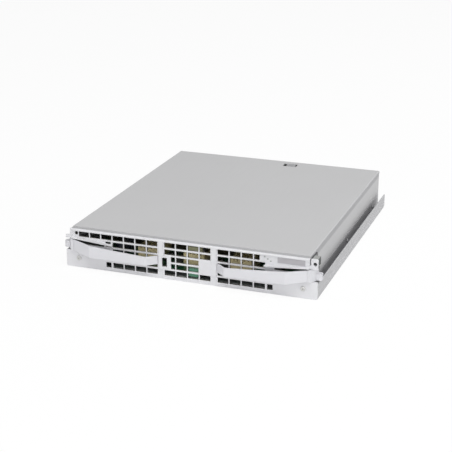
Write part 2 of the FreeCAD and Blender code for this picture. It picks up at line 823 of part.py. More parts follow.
def make_ejector_lever():
    """The right lever: a bowed cast handle, its pivot barrel and its jaw."""
    plan = lever_plan()
    face = panel_front_y - lever_stand_off
    back = panel_front_y - lever_back_gap
    high = lever_top_root + lever_trim
    wall = bent_sheet(plan, lever_wall, lever_bend_radius, "xy", lever_bottom, high)
    floor_outline = offset_path(plan, lever_wall / 2)
    pieces = [wall, prism(floor_outline, "xy", lever_bottom, lever_bottom + lever_flange)]
    rib_count = int((lever_bend_x - lever_tip_x - lever_tip_slant) / lever_rib_spacing)
    low = lever_bottom + root_cut
    for index in range(1, rib_count + 1):
        x = lever_tip_x + lever_tip_slant + index * lever_rib_spacing
        rib = [(face + lever_wall / 2, low), (back - lever_rib_back, low),
               (back - lever_rib_back, lever_bottom + lever_flange),
               (face + lever_wall / 2, lever_bottom + lever_flange + lever_rib_height)]
        pieces.append(prism(rib, "yz", x - lever_rib / 2, x + lever_rib / 2))
    handle = fused(pieces)
    low_x = lever_tip_x - lever_trim
    high_x = half_width + jaw_reach
    middle_x = (lever_tip_x + lever_root_x) / 2
    start = face - lever_trim
    top_arc = Part.Arc(V(lever_tip_x, start, lever_top_tip), V(middle_x, start, lever_top_middle),
                       V(lever_root_x, start, lever_top_root)).toShape()
    above = high + lever_trim
    corners = [V(lever_root_x, start, lever_top_root), V(high_x, start, lever_top_root),
               V(high_x, start, above), V(low_x, start, above),
               V(low_x, start, lever_top_tip), V(lever_tip_x, start, lever_top_tip)]
    lines = [Part.makeLine(a, b) for a, b in zip(corners, corners[1:])]
    over = Part.Face(Part.Wire(Part.__sortEdges__([top_arc] + lines)))
    under = prism([(lever_bend_x, lever_bottom), (lever_bend_x, lever_bottom - lever_trim),
                   (high_x, lever_bottom - lever_trim), (high_x, lever_bottom + lever_root_rise),
                   (lever_root_x, lever_bottom + lever_root_rise)],
                  "xz", start, front_y)
    behind = box(low_x, lever_root_x, back, front_y, lever_bottom - lever_trim, above)
    handle = cut_all(handle, [over.extrude(V(0, lever_stand_off * 2, 0)), under, behind])
    root_low = lug_gap_bottom + lever_end_gap
    root_high = lug_gap_top - lever_end_gap
    link_x, link_y = plan[-1]
    link = prism([(link_x - link_thickness, link_y - link_thickness / 2),
                  (link_x + link_foot, link_y - link_thickness / 2),
                  (pivot_x + barrel_radius * link_side_share, pivot_y - barrel_radius * link_front_share),
                  (pivot_x, pivot_y), (pivot_x - barrel_radius, pivot_y),
                  (pivot_x - barrel_radius, front_y - over_cut),
                  (link_x - root_cut, link_y + link_thickness / 2)],
                 "xy", root_low, root_high)
    barrel = rod(pivot_x, pivot_y, root_low, barrel_radius, root_high - root_low)
    jaw_x = pivot_x + jaw_reach
    jaw = prism([(pivot_x, pivot_y - jaw_half_width * link_front_share),
                 (jaw_x - jaw_corner_length, pivot_y - jaw_half_width),
                 (jaw_x, pivot_y - jaw_half_width + jaw_corner_width),
                 (jaw_x, pivot_y + jaw_half_width - jaw_corner_width),
                 (jaw_x - jaw_corner_length, pivot_y + jaw_half_width),
                 (pivot_x, pivot_y + barrel_radius * jaw_root_share)],
                "xy", root_low + jaw_step, root_low + jaw_step + jaw_share * (root_high - root_low))
    notch = box(jaw_x - jaw_notch_depth, jaw_x + over_cut,
                pivot_y - jaw_notch_width / 2, pivot_y + jaw_notch_width / 2,
                root_low, root_high)
    lever = fused([handle, link, barrel, jaw.cut(notch)])
    bore = rod(pivot_x, pivot_y, root_low - over_cut, pin_radius + pin_clearance,
               root_high - root_low + 2 * over_cut)
    return lever.cut(bore)


def make_pivot_bracket():
    """The right bracket: a plate on the lid's wall with two lugs for the pin."""
    inner = half_wall + seam_gap
    outer = half_width - bracket_edge_gap
    lug_end = front_y + bracket_depth
    low = lug_gap_bottom - bracket_sheet
    high = lug_gap_top + bracket_sheet
    path = [(outer, high), (inner, high), (inner, low), (outer, low)]
    lugs = bent_sheet(path, bracket_sheet, bracket_bend, "xz", front_y, lug_end)
    plate = box(inner, inner + bracket_sheet, front_y, front_y + bracket_web_depth,
                low + bracket_bend + bracket_sheet, panel_top - bracket_web_drop)
    rear_low = [(front_y + bracket_web_depth, low + bracket_bend + bracket_sheet)]
    bracket = fused([lugs, rounded(plate, "yz", rear_low, bracket_corner)])
    bore = rod(pivot_x, pivot_y, low - over_cut, pin_radius, high - low + 2 * over_cut)
    relief = prism([(outer + over_cut, lug_end - bracket_corner), (outer + over_cut, lug_end + over_cut),
                    (outer - bracket_corner, lug_end + over_cut)],
                   "xy", low - over_cut, high + over_cut)
    return cut_all(bracket, [bore, relief])


def make_pivot_pin():
    """Shouldered pin of the right lever, held in both lugs."""
    low = lug_gap_bottom - bracket_sheet - pin_tail
    high = lug_gap_top + bracket_sheet
    shank = rod(pivot_x, pivot_y, low, pin_radius, high - low)
    head = rod(pivot_x, pivot_y, high, pin_head_radius, pin_head_height)
    rim = [edge for edge in head.Edges
           if edge.Curve.TypeId == "Part::GeomCircle" and edge.CenterOfMass.z > high + pin_head_height / 2]
    head = head.makeChamfer(pin_head_height / 2, rim)
    return shank.fuse(head).removeSplitter()


def make_ear_gasket(outer, hole):
    """Conductive foam beside the bracket, as far out as stated, with the ear's hole if it has one."""
    low = lug_gap_top + bracket_sheet + pin_head_height + gasket_pin_gap
    strip = box(half_wall + seam_gap + bracket_sheet + fit_gap, outer, front_y, front_y + gasket_depth,
                low, panel_top - gasket_inset)
    if not hole:
        return strip
    return strip.cut(rod(ear_hole_x, front_y - over_cut, ear_hole_z, ear_hole_radius + seam_gap,
                         gasket_depth + 2 * over_cut, (0, 1, 0)))


# circuit board and what stands on it

def make_main_board():
    """The one circuit board, with holes for its screws."""
    board = box(-half_board, half_board, board_front_y, board_rear_y, board_bottom, board_top)
    spots = [(-half_board, board_front_y), (half_board, board_front_y)]
    board = rounded(board, "xy", spots, board_corner)
    holes = [rod(x, y, board_bottom - over_cut, board_hole_radius, board_thickness + 2 * over_cut)
             for x, y in standoff_places()]
    return cut_all(board, holes)


def hexagon(x, y, radius):
    """Corners of a hexagon seen from above."""
    return [(x + radius * math.cos(math.pi / 3 * turn), y + radius * math.sin(math.pi / 3 * turn))
            for turn in range(6)]


def make_board_standoffs():
    """Hexagonal spacers that stand on the tray floor."""
    posts = []
    for x, y in standoff_places():
        post = prism(hexagon(x, y, standoff_radius), "xy", tray_sheet, board_bottom)
        bore = rod(x, y, board_bottom - standoff_bore_depth, standoff_bore + fit_gap, board_bottom)
        posts.append(post.cut(bore))
    return Part.makeCompound(posts)


def make_board_screws():
    """Hexagonal screws through the board into its spacers."""
    screws = []
    for x, y in standoff_places():
        head = prism(hexagon(x, y, board_screw_head), "xy", board_top, board_top + board_screw_head_height)
        tail = standoff_bore_depth - screw_tail
        shank = rod(x, y, board_bottom - tail, standoff_bore, board_thickness + tail)
        screws.append(head.fuse(shank).removeSplitter())
    return Part.makeCompound(screws)


def make_chip(x, y):
    """Ball-grid package with a raised metal lid."""
    half = chip_size / 2
    lid = chip_lid_size / 2
    carrier = box(x - half, x + half, y - half, y + half, board_top, board_top + chip_height)
    cap = box(x - lid, x + lid, y - lid, y + lid, board_top + chip_height, sink_bottom)
    return fused([carrier, cap])


def make_heat_sink(x, y):
    """Extruded sink: a base with upright fins that run from front to back."""
    left = x - sink_width / 2
    base_top = sink_bottom + sink_base
    top = sink_bottom + sink_height
    pitch = (sink_width - sink_fin) / (sink_fins - 1)
    outline = [(left, sink_bottom), (left + sink_width, sink_bottom)]
    for index in reversed(range(sink_fins)):
        fin_left = left + index * pitch
        outline += [(fin_left + sink_fin, top), (fin_left, top)]
        if index:
            outline += [(fin_left, base_top), (fin_left - pitch + sink_fin, base_top)]
    sink = prism(outline, "xz", y - sink_length / 2, y + sink_length / 2)
    tools = []
    for pin_x, pin_y in sink_pin_places(x, y):
        tools.append(rod(pin_x, pin_y, sink_bottom - over_cut, sink_pin_radius + sink_pin_clearance,
                         sink_base + 2 * over_cut))
        reach = sink_pin_head + sink_pin_pocket
        tools.append(box(pin_x - reach, pin_x + reach, pin_y - reach, pin_y + reach,
                         base_top, top + over_cut))
    return cut_all(sink, tools)


def make_sink_pins():
    """Spring screws that press the sinks on their chips."""
    pins = []
    for x, y in chip_places():
        for pin_x, pin_y in sink_pin_places(x, y):
            shank = rod(pin_x, pin_y, board_top, sink_pin_radius, sink_bottom + sink_base - board_top)
            seat = sink_bottom + sink_base
            head = prism(hexagon(pin_x, pin_y, sink_pin_head), "xy", seat, seat + sink_pin_head_height)
            pins.append(shank.fuse(head).removeSplitter())
    return Part.makeCompound(pins)


def make_power_module(x):
    """Potted power brick with a ribbed cooling plate."""
    near = power_front_y
    half = power_width / 2
    body = box(x - half, x + half, near, near + power_length, board_top, board_top + power_height)
    edges = [(x - half, near), (x + half, near), (x - half, near + power_length),
             (x + half, near + power_length)]
    body = rounded(body, "xy", edges, power_corner)
    pitch = power_width / power_rib_count
    tools = []
    for index in range(1, power_rib_count):
        middle = x - half + index * pitch
        tools.append(box(middle - power_rib / 2, middle + power_rib / 2, near - over_cut,
                         near + power_length + over_cut, board_top + power_height - power_rib_depth,
                         board_top + power_height + over_cut))
    return cut_all(body, tools)


def make_capacitor(x, y):
    """Can capacitor that stands on the board."""
    can = rod(x, y, board_top, capacitor_radius, capacitor_height)
    top = [edge for edge in can.Edges
           if edge.Curve.TypeId == "Part::GeomCircle" and edge.CenterOfMass.z > board_top + capacitor_radius]
    return can.makeChamfer(capacitor_chamfer, top)


def capacitor_places():
    """Two rows of capacitors beside the power modules."""
    y = power_front_y + power_length / 2
    places = []
    for side in (-1, 1):
        for index in (-1, 0, 1):
            places.append((side * capacitor_start_x, y + index * capacitor_pitch))
    return places


def make_backplane_connector(x):
    """Right-angle connector, open towards the back in upright slots."""
    half = connector_width / 2
    far = board_rear_y + board_rear_gap
    near = far - connector_length
    top = board_top + connector_height
    outline = [(near, board_top), (board_rear_y, board_top), (far, board_top),
               (far, top - connector_chamfer), (far - connector_chamfer, top),
               (near + connector_length / 3, top), (near, top - connector_height / 3)]
    body = prism(outline, "yz", x - half, x + half)
    tools = []
    for place_x in spread(connector_slots, -half + connector_margin, half - connector_margin):
        tools.append(box(x + place_x - connector_slot / 2, x + place_x + connector_slot / 2,
                         far - connector_slot_depth, far + over_cut,
                         board_top + connector_wall, top - connector_wall))
    return cut_all(body, tools)


def make_power_inlet():
    """Blade connector for the supply."""
    half = power_inlet_width / 2
    far = board_rear_y + board_rear_gap
    near = far - connector_length
    top = board_top + power_inlet_height
    x = -guide_x + guide_width / 2 + power_inlet_gap + half
    body = box(x - half, x + half, near, far, board_top, top)
    body = rounded(body, "xy", [(x - half, near), (x + half, near)], power_inlet_corner)
    tools = []
    for place_x in spread(power_inlet_blades, -half + power_inlet_margin, half - power_inlet_margin):
        tools.append(box(x + place_x - power_blade_slot / 2, x + place_x + power_blade_slot / 2,
                         far - connector_slot_depth, far + over_cut,
                         board_top + power_inlet_wall, top - power_inlet_wall))
    return cut_all(body, tools)


def make_guide_socket():
    """The right socket: a block with a tapered mouth and a round bore."""
    half = guide_width / 2
    x = guide_x
    far = board_rear_y + board_rear_gap
    near = far - guide_length
    middle_z = board_top + guide_height / 2
    body = box(x - half, x + half, near, far, board_top, board_top + guide_height)
    body = rounded(body, "xy", [(x - half, near), (x + half, near)], guide_corner)
    bore = rod(x, far + over_cut, middle_z, guide_bore_radius, guide_bore_length + over_cut, (0, -1, 0))
    mouth = Part.makeCone(guide_bore_radius + guide_mouth, guide_bore_radius, guide_mouth,
                          V(x, far, middle_z), V(0, -1, 0))
    return body.cut(bore).cut(mouth)


# stiffening bar

def make_front_bar():
    """Folded bar on the tray floor with notches for the cooling air."""
    near = power_front_y + power_length + bar_gap
    reach = half_board - bar_end_gap
    path = [(near + bar_foot, board_top), (near, board_top), (near, board_top + bar_height)]
    bar = bent_sheet(path[::-1], bar_sheet, bar_bend, "yz", -reach, reach)
    top = board_top + bar_height
    tools = []
    for x in spread(bar_notch_count, -reach + bar_end_margin, reach - bar_end_margin):
        tools.append(box(x - bar_notch_width / 2, x + bar_notch_width / 2,
                         near - bar_sheet - over_cut, near + bar_sheet + over_cut,
                         top - bar_notch_height, top + over_cut))
    return cut_all(bar, tools)


def main():
    """Makes every piece and writes its file."""
    os.makedirs("parts", exist_ok=True)
    save("base_tray", make_base_tray())
    save("top_cover", make_top_cover())
    save("cover_catch", make_cover_catch())
    save("front_panel", make_front_panel())
    save("label_plate", make_label_plate())
    save("lamp_holder", make_lamp_holder())
    for index, (x, z) in enumerate(lamp_places(), 1):
        save(f"status_lamp_{index}", make_status_lamp(x, z))
    sided = {
        "guide_rail": make_guide_rail(),
        "ejector_lever": make_ejector_lever(),
        "pivot_bracket": make_pivot_bracket(),
        "pivot_pin": make_pivot_pin(),
        "guide_socket": make_guide_socket(),
    }
    for name, shape in sided.items():
        save(name + "_right", shape)
        save(name + "_left", mirrored(shape))
    save("ear_gasket_right", make_ear_gasket(half_width - gasket_inset, True))
    save("ear_gasket_left", mirrored(make_ear_gasket(half_width - ear_notch_width, False)))
    save("main_board", make_main_board())
    save("board_standoffs", make_board_standoffs())
    save("board_screws", make_board_screws())
    for index, (x, y) in enumerate(chip_places(), 1):
        save(f"switch_chip_{index}", make_chip(x, y))
        save(f"heat_sink_{index}", make_heat_sink(x, y))
    save("heat_sink_screws", make_sink_pins())
    for index, x in enumerate(power_places, 1):
        save(f"power_module_{index}", make_power_module(x))
    for index, (x, y) in enumerate(capacitor_places(), 1):
        save(f"capacitor_{index}", make_capacitor(x, y))
    for index, x in enumerate(connector_places(), 1):
        save(f"backplane_connector_{index}", make_backplane_connector(x))
    save("power_inlet", make_power_inlet())
    save("front_bar", make_front_bar())
    save("cover_screws", make_cover_screws())
    save("rail_rivets", make_rivets())
    save("panel_screws", make_panel_screws())


main()
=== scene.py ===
# %% [markdown]
# Looks of a switch fabric module: a flat plug-in tray for a network chassis.
# The solids come packed from the construction model. This script gives every one of them a
# finish and adds the small pieces that only matter to the eye, such as contacts and board parts.

import bpy
import bmesh
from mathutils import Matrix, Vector


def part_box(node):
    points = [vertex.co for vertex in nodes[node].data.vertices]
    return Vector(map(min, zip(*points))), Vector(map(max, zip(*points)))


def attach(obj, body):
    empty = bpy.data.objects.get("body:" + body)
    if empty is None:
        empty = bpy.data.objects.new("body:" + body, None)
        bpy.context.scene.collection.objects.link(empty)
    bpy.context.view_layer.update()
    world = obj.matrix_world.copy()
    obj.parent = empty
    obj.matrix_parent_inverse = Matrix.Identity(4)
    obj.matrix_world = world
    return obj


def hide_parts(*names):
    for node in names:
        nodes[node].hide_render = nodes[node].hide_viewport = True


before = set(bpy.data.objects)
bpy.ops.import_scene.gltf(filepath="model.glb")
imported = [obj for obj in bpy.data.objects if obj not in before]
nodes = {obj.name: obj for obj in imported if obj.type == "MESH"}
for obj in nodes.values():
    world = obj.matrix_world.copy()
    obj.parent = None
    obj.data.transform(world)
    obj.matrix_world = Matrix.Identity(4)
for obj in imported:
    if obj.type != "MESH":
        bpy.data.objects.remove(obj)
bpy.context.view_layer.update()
print("solids loaded:", len(nodes))

# %% [markdown]
# Blender counts in metres. One millimetre gets a name, so sizes can be written the way a maker
# says them. Where the solids lie is read from their boxes, and is not typed a second time.

# %% Units and measured places
MM = 0.001
panel_low, panel_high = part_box("front_panel")
board_low, board_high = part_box("main_board")
cover_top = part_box("top_cover")[1].z
panel_face_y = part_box("label_plate")[1].y
print("panel face at y =", round(panel_face_y, 4), "board top at z =", round(board_high.z, 4))

# %% [markdown]
# The camera repeats the photograph: a long lens, standing to the right of the module and
# looking down on it by about twenty degrees. The long lens keeps the edges nearly parallel.
# It is turned by the direction that it looks in, which is easier to follow than three angles.

# %% Camera
CAMERA_PLACE = Vector((0.62916, panel_face_y - 1.55896, 0.69928))
CAMERA_VIEW = Vector((-0.3202, 0.88475, -0.33864))
CAMERA_LENS = 91.17
SENSOR_WIDTH = 36.0
camera_data = bpy.data.cameras.new("camera")
camera_data.lens = CAMERA_LENS
camera_data.sensor_width = SENSOR_WIDTH
camera = bpy.data.objects.new("camera", camera_data)
camera.location = CAMERA_PLACE
camera.rotation_euler = CAMERA_VIEW.to_track_quat("-Z", "Y").to_euler()
bpy.context.scene.collection.objects.link(camera)
bpy.context.scene.camera = camera
print("camera distance:", round(CAMERA_PLACE.length, 3), "m")

# %% [markdown]
# Helpers for shader trees. A node is added by its type, its inputs are set by name, and a value
# that is itself a socket is linked. This keeps each material as short as a recipe.

# %% Adding and wiring nodes
def feed(tree, value, socket):
    """Links a value that is a socket, and sets any other value."""
    if isinstance(value, bpy.types.NodeSocket):
        tree.links.new(value, socket)
    else:
        socket.default_value = value


def wire(tree, node, **inputs):
    """Feeds the inputs of a node, given by name with _ for a space."""
    for key, value in inputs.items():
        feed(tree, value, node.inputs[key.replace("_", " ")])


def add(tree, kind, settings=None, values=(), **inputs):
    """Adds a node. Values fill its first inputs in order, and the others go by name."""
    node = tree.nodes.new(kind)
    for key, value in (settings or {}).items():
        setattr(node, key, value)
    for value, socket in zip(values, node.inputs):
        feed(tree, value, socket)
    wire(tree, node, **inputs)
    return node


def math_node(tree, operation, *values, clamp=False):
    node = add(tree, "ShaderNodeMath", {"operation": operation, "use_clamp": clamp}, values)
    return node.outputs[0]


def product(tree, first, *others):
    """Masks multiplied with one another, so that only what lies in all of them is left."""
    for other in others:
        first = math_node(tree, "MULTIPLY", first, other)
    return first


def ramp(tree, source, low=0.0, high=1.0, start=0.0, end=1.0):
    """Turns a source that goes from start to end into values from low to high."""
    node = add(tree, "ShaderNodeMapRange", Value=source,
               From_Min=start, From_Max=end, To_Min=low, To_Max=high)
    return node.outputs[0]


print("node helpers ready")

# %% [markdown]
# Patterns need to know where a point lies and which way its face looks. Object coordinates are
# used for all of them: they stay on a piece when it moves, as paint does. The Mix node keeps
# sockets for every kind of value, so those that it uses for colours are given a name.

# %% Places, directions, clouds and colours
MIX_COLOURS = (6, 7)
MIX_RESULT = 2


def on_object(tree):
    return add(tree, "ShaderNodeTexCoord").outputs["Object"]


def split(tree, vector):
    return add(tree, "ShaderNodeSeparateXYZ", Vector=vector).outputs


def facing(tree):
    """The direction in which a face looks, as X, Y and Z."""
    return split(tree, add(tree, "ShaderNodeNewGeometry").outputs["Normal"])


def size_of(tree, value):
    return math_node(tree, "ABSOLUTE", value)


def noise(tree, place, scale, detail=2.0, rough=0.5):
    """A cloudy pattern with values round one half."""
    node = add(tree, "ShaderNodeTexNoise", Vector=place, Scale=scale, Detail=detail, Roughness=rough)
    return node.outputs["Fac"]


def colour_mix(tree, amount, *colours):
    """Goes from the first colour to the second."""
    node = add(tree, "ShaderNodeMix", {"data_type": "RGBA"}, [amount])
    for place, colour in zip(MIX_COLOURS, colours):
        feed(tree, colour, node.inputs[place])
    return node.outputs[MIX_RESULT]


def rgb(red, green, blue):
    """A colour as a picture program shows it (0 to 255), turned into light by the screen's curve."""
    def light(value):
        value = value / 255
        return value / 12.92 if value <= 0.04045 else ((value + 0.055) / 1.055) ** 2.4
    return (light(red), light(green), light(blue), 1.0)


def shade(tone, share, lift=0.0):
    """A tone made darker or paler, and never brighter than white."""
    return tuple(min(part * share + lift, 1.0) for part in tone[:3]) + (1.0,)


def new_group(name, inputs, outputs):
    """An empty shader group with float inputs (name: default) and outputs (name: kind)."""
    tree = bpy.data.node_groups.new(name, "ShaderNodeTree")
    for label, value in inputs.items():
        socket = tree.interface.new_socket(label, in_out="INPUT", socket_type="NodeSocketFloat")
        socket.default_value = value
    for label, kind in outputs.items():
        tree.interface.new_socket(label, in_out="OUTPUT", socket_type=kind)
    return tree, tree.nodes.new("NodeGroupInput").outputs, tree.nodes.new("NodeGroupOutput")


print("pattern helpers ready")

# %% [markdown]
# Rolled and brushed sheet has fine lines in one direction. The group stretches a noise along
# one axis: the lines change the roughness and a very small height, and a slow cloud under them
# makes the tone of a large sheet drift a little, as a real one does.

# %% Group: sheet grain
def make_sheet_grain():
    tree, given, out = new_group(
        "sheet_grain", {"Along X": 0.0, "Fineness": 900.0, "Drift": 0.5},
        {"Grain": "NodeSocketFloat", "Cloud": "NodeSocketFloat"})
    place = on_object(tree)
    axes = split(tree, place)
    squeeze = 0.012
    turned = math_node(tree, "MULTIPLY", given["Along X"], 1 - squeeze)
    stretched = add(tree, "ShaderNodeCombineXYZ",
                    X=product(tree, axes["X"], math_node(tree, "SUBTRACT", 1.0, turned)),
                    Y=product(tree, axes["Y"], math_node(tree, "ADD", squeeze, turned)),
                    Z=axes["Z"])
    lines = noise(tree, stretched.outputs[0], given["Fineness"], detail=3.0, rough=0.6)
    cloud = noise(tree, place, scale=9.0, detail=4.0)
    middle = 0.5
    drift = product(tree, math_node(tree, "SUBTRACT", cloud, middle), given["Drift"])
    wire(tree, out, Grain=lines, Cloud=math_node(tree, "ADD", drift, middle, clamp=True))
    return tree


sheet_grain = make_sheet_grain()
print("group", sheet_grain.name, "with", len(sheet_grain.nodes), "nodes")

# %% [markdown]
# Edges take the wear first: coats thin out there and bare metal is rubbed bright. The Bevel node
# gives a rounded normal near an edge, and how far that turns from the true one is the mask. A
# noise breaks it up, so that the wear comes in short stretches and not as a drawn line.

# %% Group: edge wear
def make_edge_wear():
    tree, given, out = new_group(
        "edge_wear", {"Radius": 0.8 * MM, "Amount": 0.6, "Break up": 160.0},
        {"Mask": "NodeSocketFloat", "Normal": "NodeSocketVector"})
    rounded = add(tree, "ShaderNodeBevel", {"samples": 6}, Radius=given["Radius"]).outputs[0]
    flat = add(tree, "ShaderNodeNewGeometry").outputs["Normal"]
    turn = add(tree, "ShaderNodeVectorMath", {"operation": "DOT_PRODUCT"}, [rounded, flat])
    bend = math_node(tree, "SUBTRACT", 1.0, turn.outputs["Value"], clamp=True)
    steepness = 7.0
    sharp = math_node(tree, "MULTIPLY", bend, steepness, clamp=True)
    cloud = noise(tree, on_object(tree), given["Break up"], detail=5.0, rough=0.65)
    worn = product(tree, sharp, ramp(tree, cloud, start=0.42, end=0.62))
    mask = math_node(tree, "MULTIPLY", worn, given["Amount"], clamp=True)
    wire(tree, out, Mask=mask, Normal=rounded)
    return tree


edge_wear = make_edge_wear()
print("group", edge_wear.name, "with", len(edge_wear.nodes), "nodes")

# %% [markdown]
# Coats and mouldings are never quite flat. This group gives the fine orange-peel of a sprayed
# coat or the spark-eroded grain of a mould, and a separate cloud for handling marks that make
# the surface a little rougher in patches.

# %% Group: fine skin
def make_fine_skin():
    tree, given, out = new_group(
        "fine_skin", {"Fineness": 1400.0, "Marks": 30.0},
        {"Height": "NodeSocketFloat", "Handling": "NodeSocketFloat"})
    place = on_object(tree)
    wire(tree, out, Height=noise(tree, place, given["Fineness"]),
         Handling=noise(tree, place, given["Marks"], detail=6.0, rough=0.7))
    return tree


fine_skin = make_fine_skin()
print("group", fine_skin.name, "with", len(fine_skin.nodes), "nodes")

# %% [markdown]
# A material starts with a Principled shader, its output and nothing else. The three groups are
# placed in it with the material's own values. Most of this module is one of three families:
# plain sheet, sprayed sheet and moulded plastic, so each family is one function.

# %% Material helpers
def first_of(tree, kind):
    """The node of a kind that every new tree holds once."""
    return next(node for node in tree.nodes if node.type == kind)


def new_material(name, **sockets):
    """A material with a Principled shader, whose inputs are set by name."""
    material = bpy.data.materials.new(name)
    material.use_nodes = True
    tree = material.node_tree
    shader = first_of(tree, "BSDF_PRINCIPLED")
    wire(tree, shader, **sockets)
    return material, tree, shader


def use(tree, group, **values):
    """Places a group in a material with the material's own values."""
    node = tree.nodes.new("ShaderNodeGroup")
    node.node_tree = group
    wire(tree, node, **values)
    return node.outputs


def bump(tree, shader, height, strength, distance, **normal):
    node = add(tree, "ShaderNodeBump", Height=height, Strength=strength, Distance=distance, **normal)
    wire(tree, shader, Normal=node.outputs[0])


def ready_to_paint(material):
    """The tree of a finished material, its shader and the colour that feeds it."""
    tree = material.node_tree
    shader = first_of(tree, "BSDF_PRINCIPLED")
    return tree, shader, shader.inputs["Base Color"].links[0].from_socket


print("material helpers ready")

# %% [markdown]
# Plain sheet is the lid, the tray, the rails and the brackets. One flat colour would look like
# plastic, so the tone drifts over the sheet, the grain lines are a little darker, and the edges are
# rubbed bright. The grain goes from front to back, or across where a piece was cut the other way.

# %% Plain sheet and drawn metal
RUBBED_METAL = (0.82, 0.82, 0.83, 1.0)


def sheet_metal(name, tone, rough, metallic=0.55, along_x=0.0, fineness=900.0, drift=0.5, wear=0.35):
    """Bright or satin sheet with grain, slow drift of tone and rubbed edges."""
    material, tree, shader = new_material(name, Metallic=metallic)
    grain = use(tree, sheet_grain, Along_X=along_x, Fineness=fineness, Drift=drift)
    edge = use(tree, edge_wear, Radius=0.7 * MM, Amount=wear)
    dark = shade(tone, share=0.90)
    cloudy = colour_mix(tree, grain["Cloud"], dark, shade(tone, share=1.08))
    lined = colour_mix(tree, ramp(tree, grain["Grain"], high=0.22), cloudy, dark)
    wire(tree, shader, Base_Color=colour_mix(tree, edge["Mask"], lined, RUBBED_METAL),
         Roughness=ramp(tree, grain["Grain"], low=rough - 0.07, high=rough + 0.10))
    bump(tree, shader, grain["Grain"], strength=0.25, distance=0.04 * MM, Normal=edge["Normal"])
    return material


print("sheet family ready")

# %% [markdown]
# The front panel and the levers are sprayed. The orange-peel of the spray is far too fine to
# model, so it is bump, and the coat is thin enough at the edges to show what is under it. Hands
# leave patches that are slightly darker and rougher. Anodised plate is close enough to share it.

# %% Sprayed coat
def coated(name, tone, rough, fineness=1400.0, wear=0.25, under=(0.55, 0.55, 0.57, 1.0), coat=0.15):
    """Sprayed coat over metal: orange-peel, handling patches and thin worn edges."""
    material, tree, shader = new_material(name, Coat_Weight=coat, Coat_Roughness=0.35)
    skin = use(tree, fine_skin, Fineness=fineness)
    edge = use(tree, edge_wear, Radius=0.9 * MM, Amount=wear)
    handled = colour_mix(tree, ramp(tree, skin["Handling"], high=0.7), tone, shade(tone, share=0.93))
    wire(tree, shader, Base_Color=colour_mix(tree, edge["Mask"], handled, under),
         Roughness=ramp(tree, skin["Handling"], low=rough - 0.08, high=rough + 0.08))
    bump(tree, shader, skin["Height"], strength=0.35, distance=0.05 * MM, Normal=edge["Normal"])
    return material


print("coat family ready")

# %% [markdown]
# Connectors, chips and sleeves are moulded. The mould leaves a finer grain than a spray gun does,
# and the colour goes all the way through, so a rubbed edge shows in the shading and not in the tone.

# %% Moulded plastic
def moulded(name, tone, rough, fineness=2200.0):
    """Moulded plastic or epoxy with a fine mould grain."""
    material, tree, shader = new_material(name)
    skin = use(tree, fine_skin, Fineness=fineness, Marks=60.0)
    edge = use(tree, edge_wear, Radius=0.4 * MM)
    pale = shade(tone, share=1.15, lift=0.01)
    wire(tree, shader, Base_Color=colour_mix(tree, skin["Handling"], tone, pale),
         Roughness=ramp(tree, skin["Handling"], low=rough - 0.06, high=rough + 0.1))
    bump(tree, shader, skin["Height"], strength=0.3, distance=0.04 * MM, Normal=edge["Normal"])
    return material


print("moulded family ready")

# %% [markdown]
# The lid is satin grey sheet with its grain from front to back. Its upper edge is folded back on
# itself, and a darker band below it is painted shade for the shadow line of that fold, strongest
# along the sides. The band follows the height and is kept to upright faces, so the top stays pale.

# %% Finish of the lid
SHADE_BAND_STARTS = 13.0 * MM
SHADE_BAND_IS_FULL = 10.0 * MM


def lid_with_painted_shade():
    material = sheet_metal("lid_sheet_painted_shade", rgb(186, 186, 187), rough=0.55, metallic=0.25, drift=0.3)
    tree, shader, tone = ready_to_paint(material)
    height = split(tree, on_object(tree))["Z"]
    looks = facing(tree)
    above = ramp(tree, height, start=cover_top - SHADE_BAND_STARTS, end=cover_top - SHADE_BAND_IS_FULL)
    upright = ramp(tree, size_of(tree, looks["Z"]), start=0.85, end=0.45)
    sideways = ramp(tree, size_of(tree, looks["X"]), low=0.3, high=0.9, start=0.3, end=0.7)
    # Painted shade: upright faces just below the top edge are darkened, faces that look sideways most.
    painted_shade_band = product(tree, above, upright, sideways)
    wire(tree, shader, Base_Color=colour_mix(tree, painted_shade_band, tone, rgb(158, 158, 160)))
    return material


cover_metal = lid_with_painted_shade()
print("lid finish ready")

# %% [markdown]
# The panel was sprayed flat and punched afterwards: the edges of its slots are bare metal, and their
# dark tone is painted shade for the inside of the slots. They are found by their place, inside the
# sheet and within the field of slots, and by their direction, which is never to the front. Those that
# look up are painted paler, as a painted highlight of the light from above.

# %% Finish of the front panel
COAT_DEPTH = 0.1 * MM
SLOTS_END_AT_X = 196 * MM
PANEL_RIM = 3.5 * MM


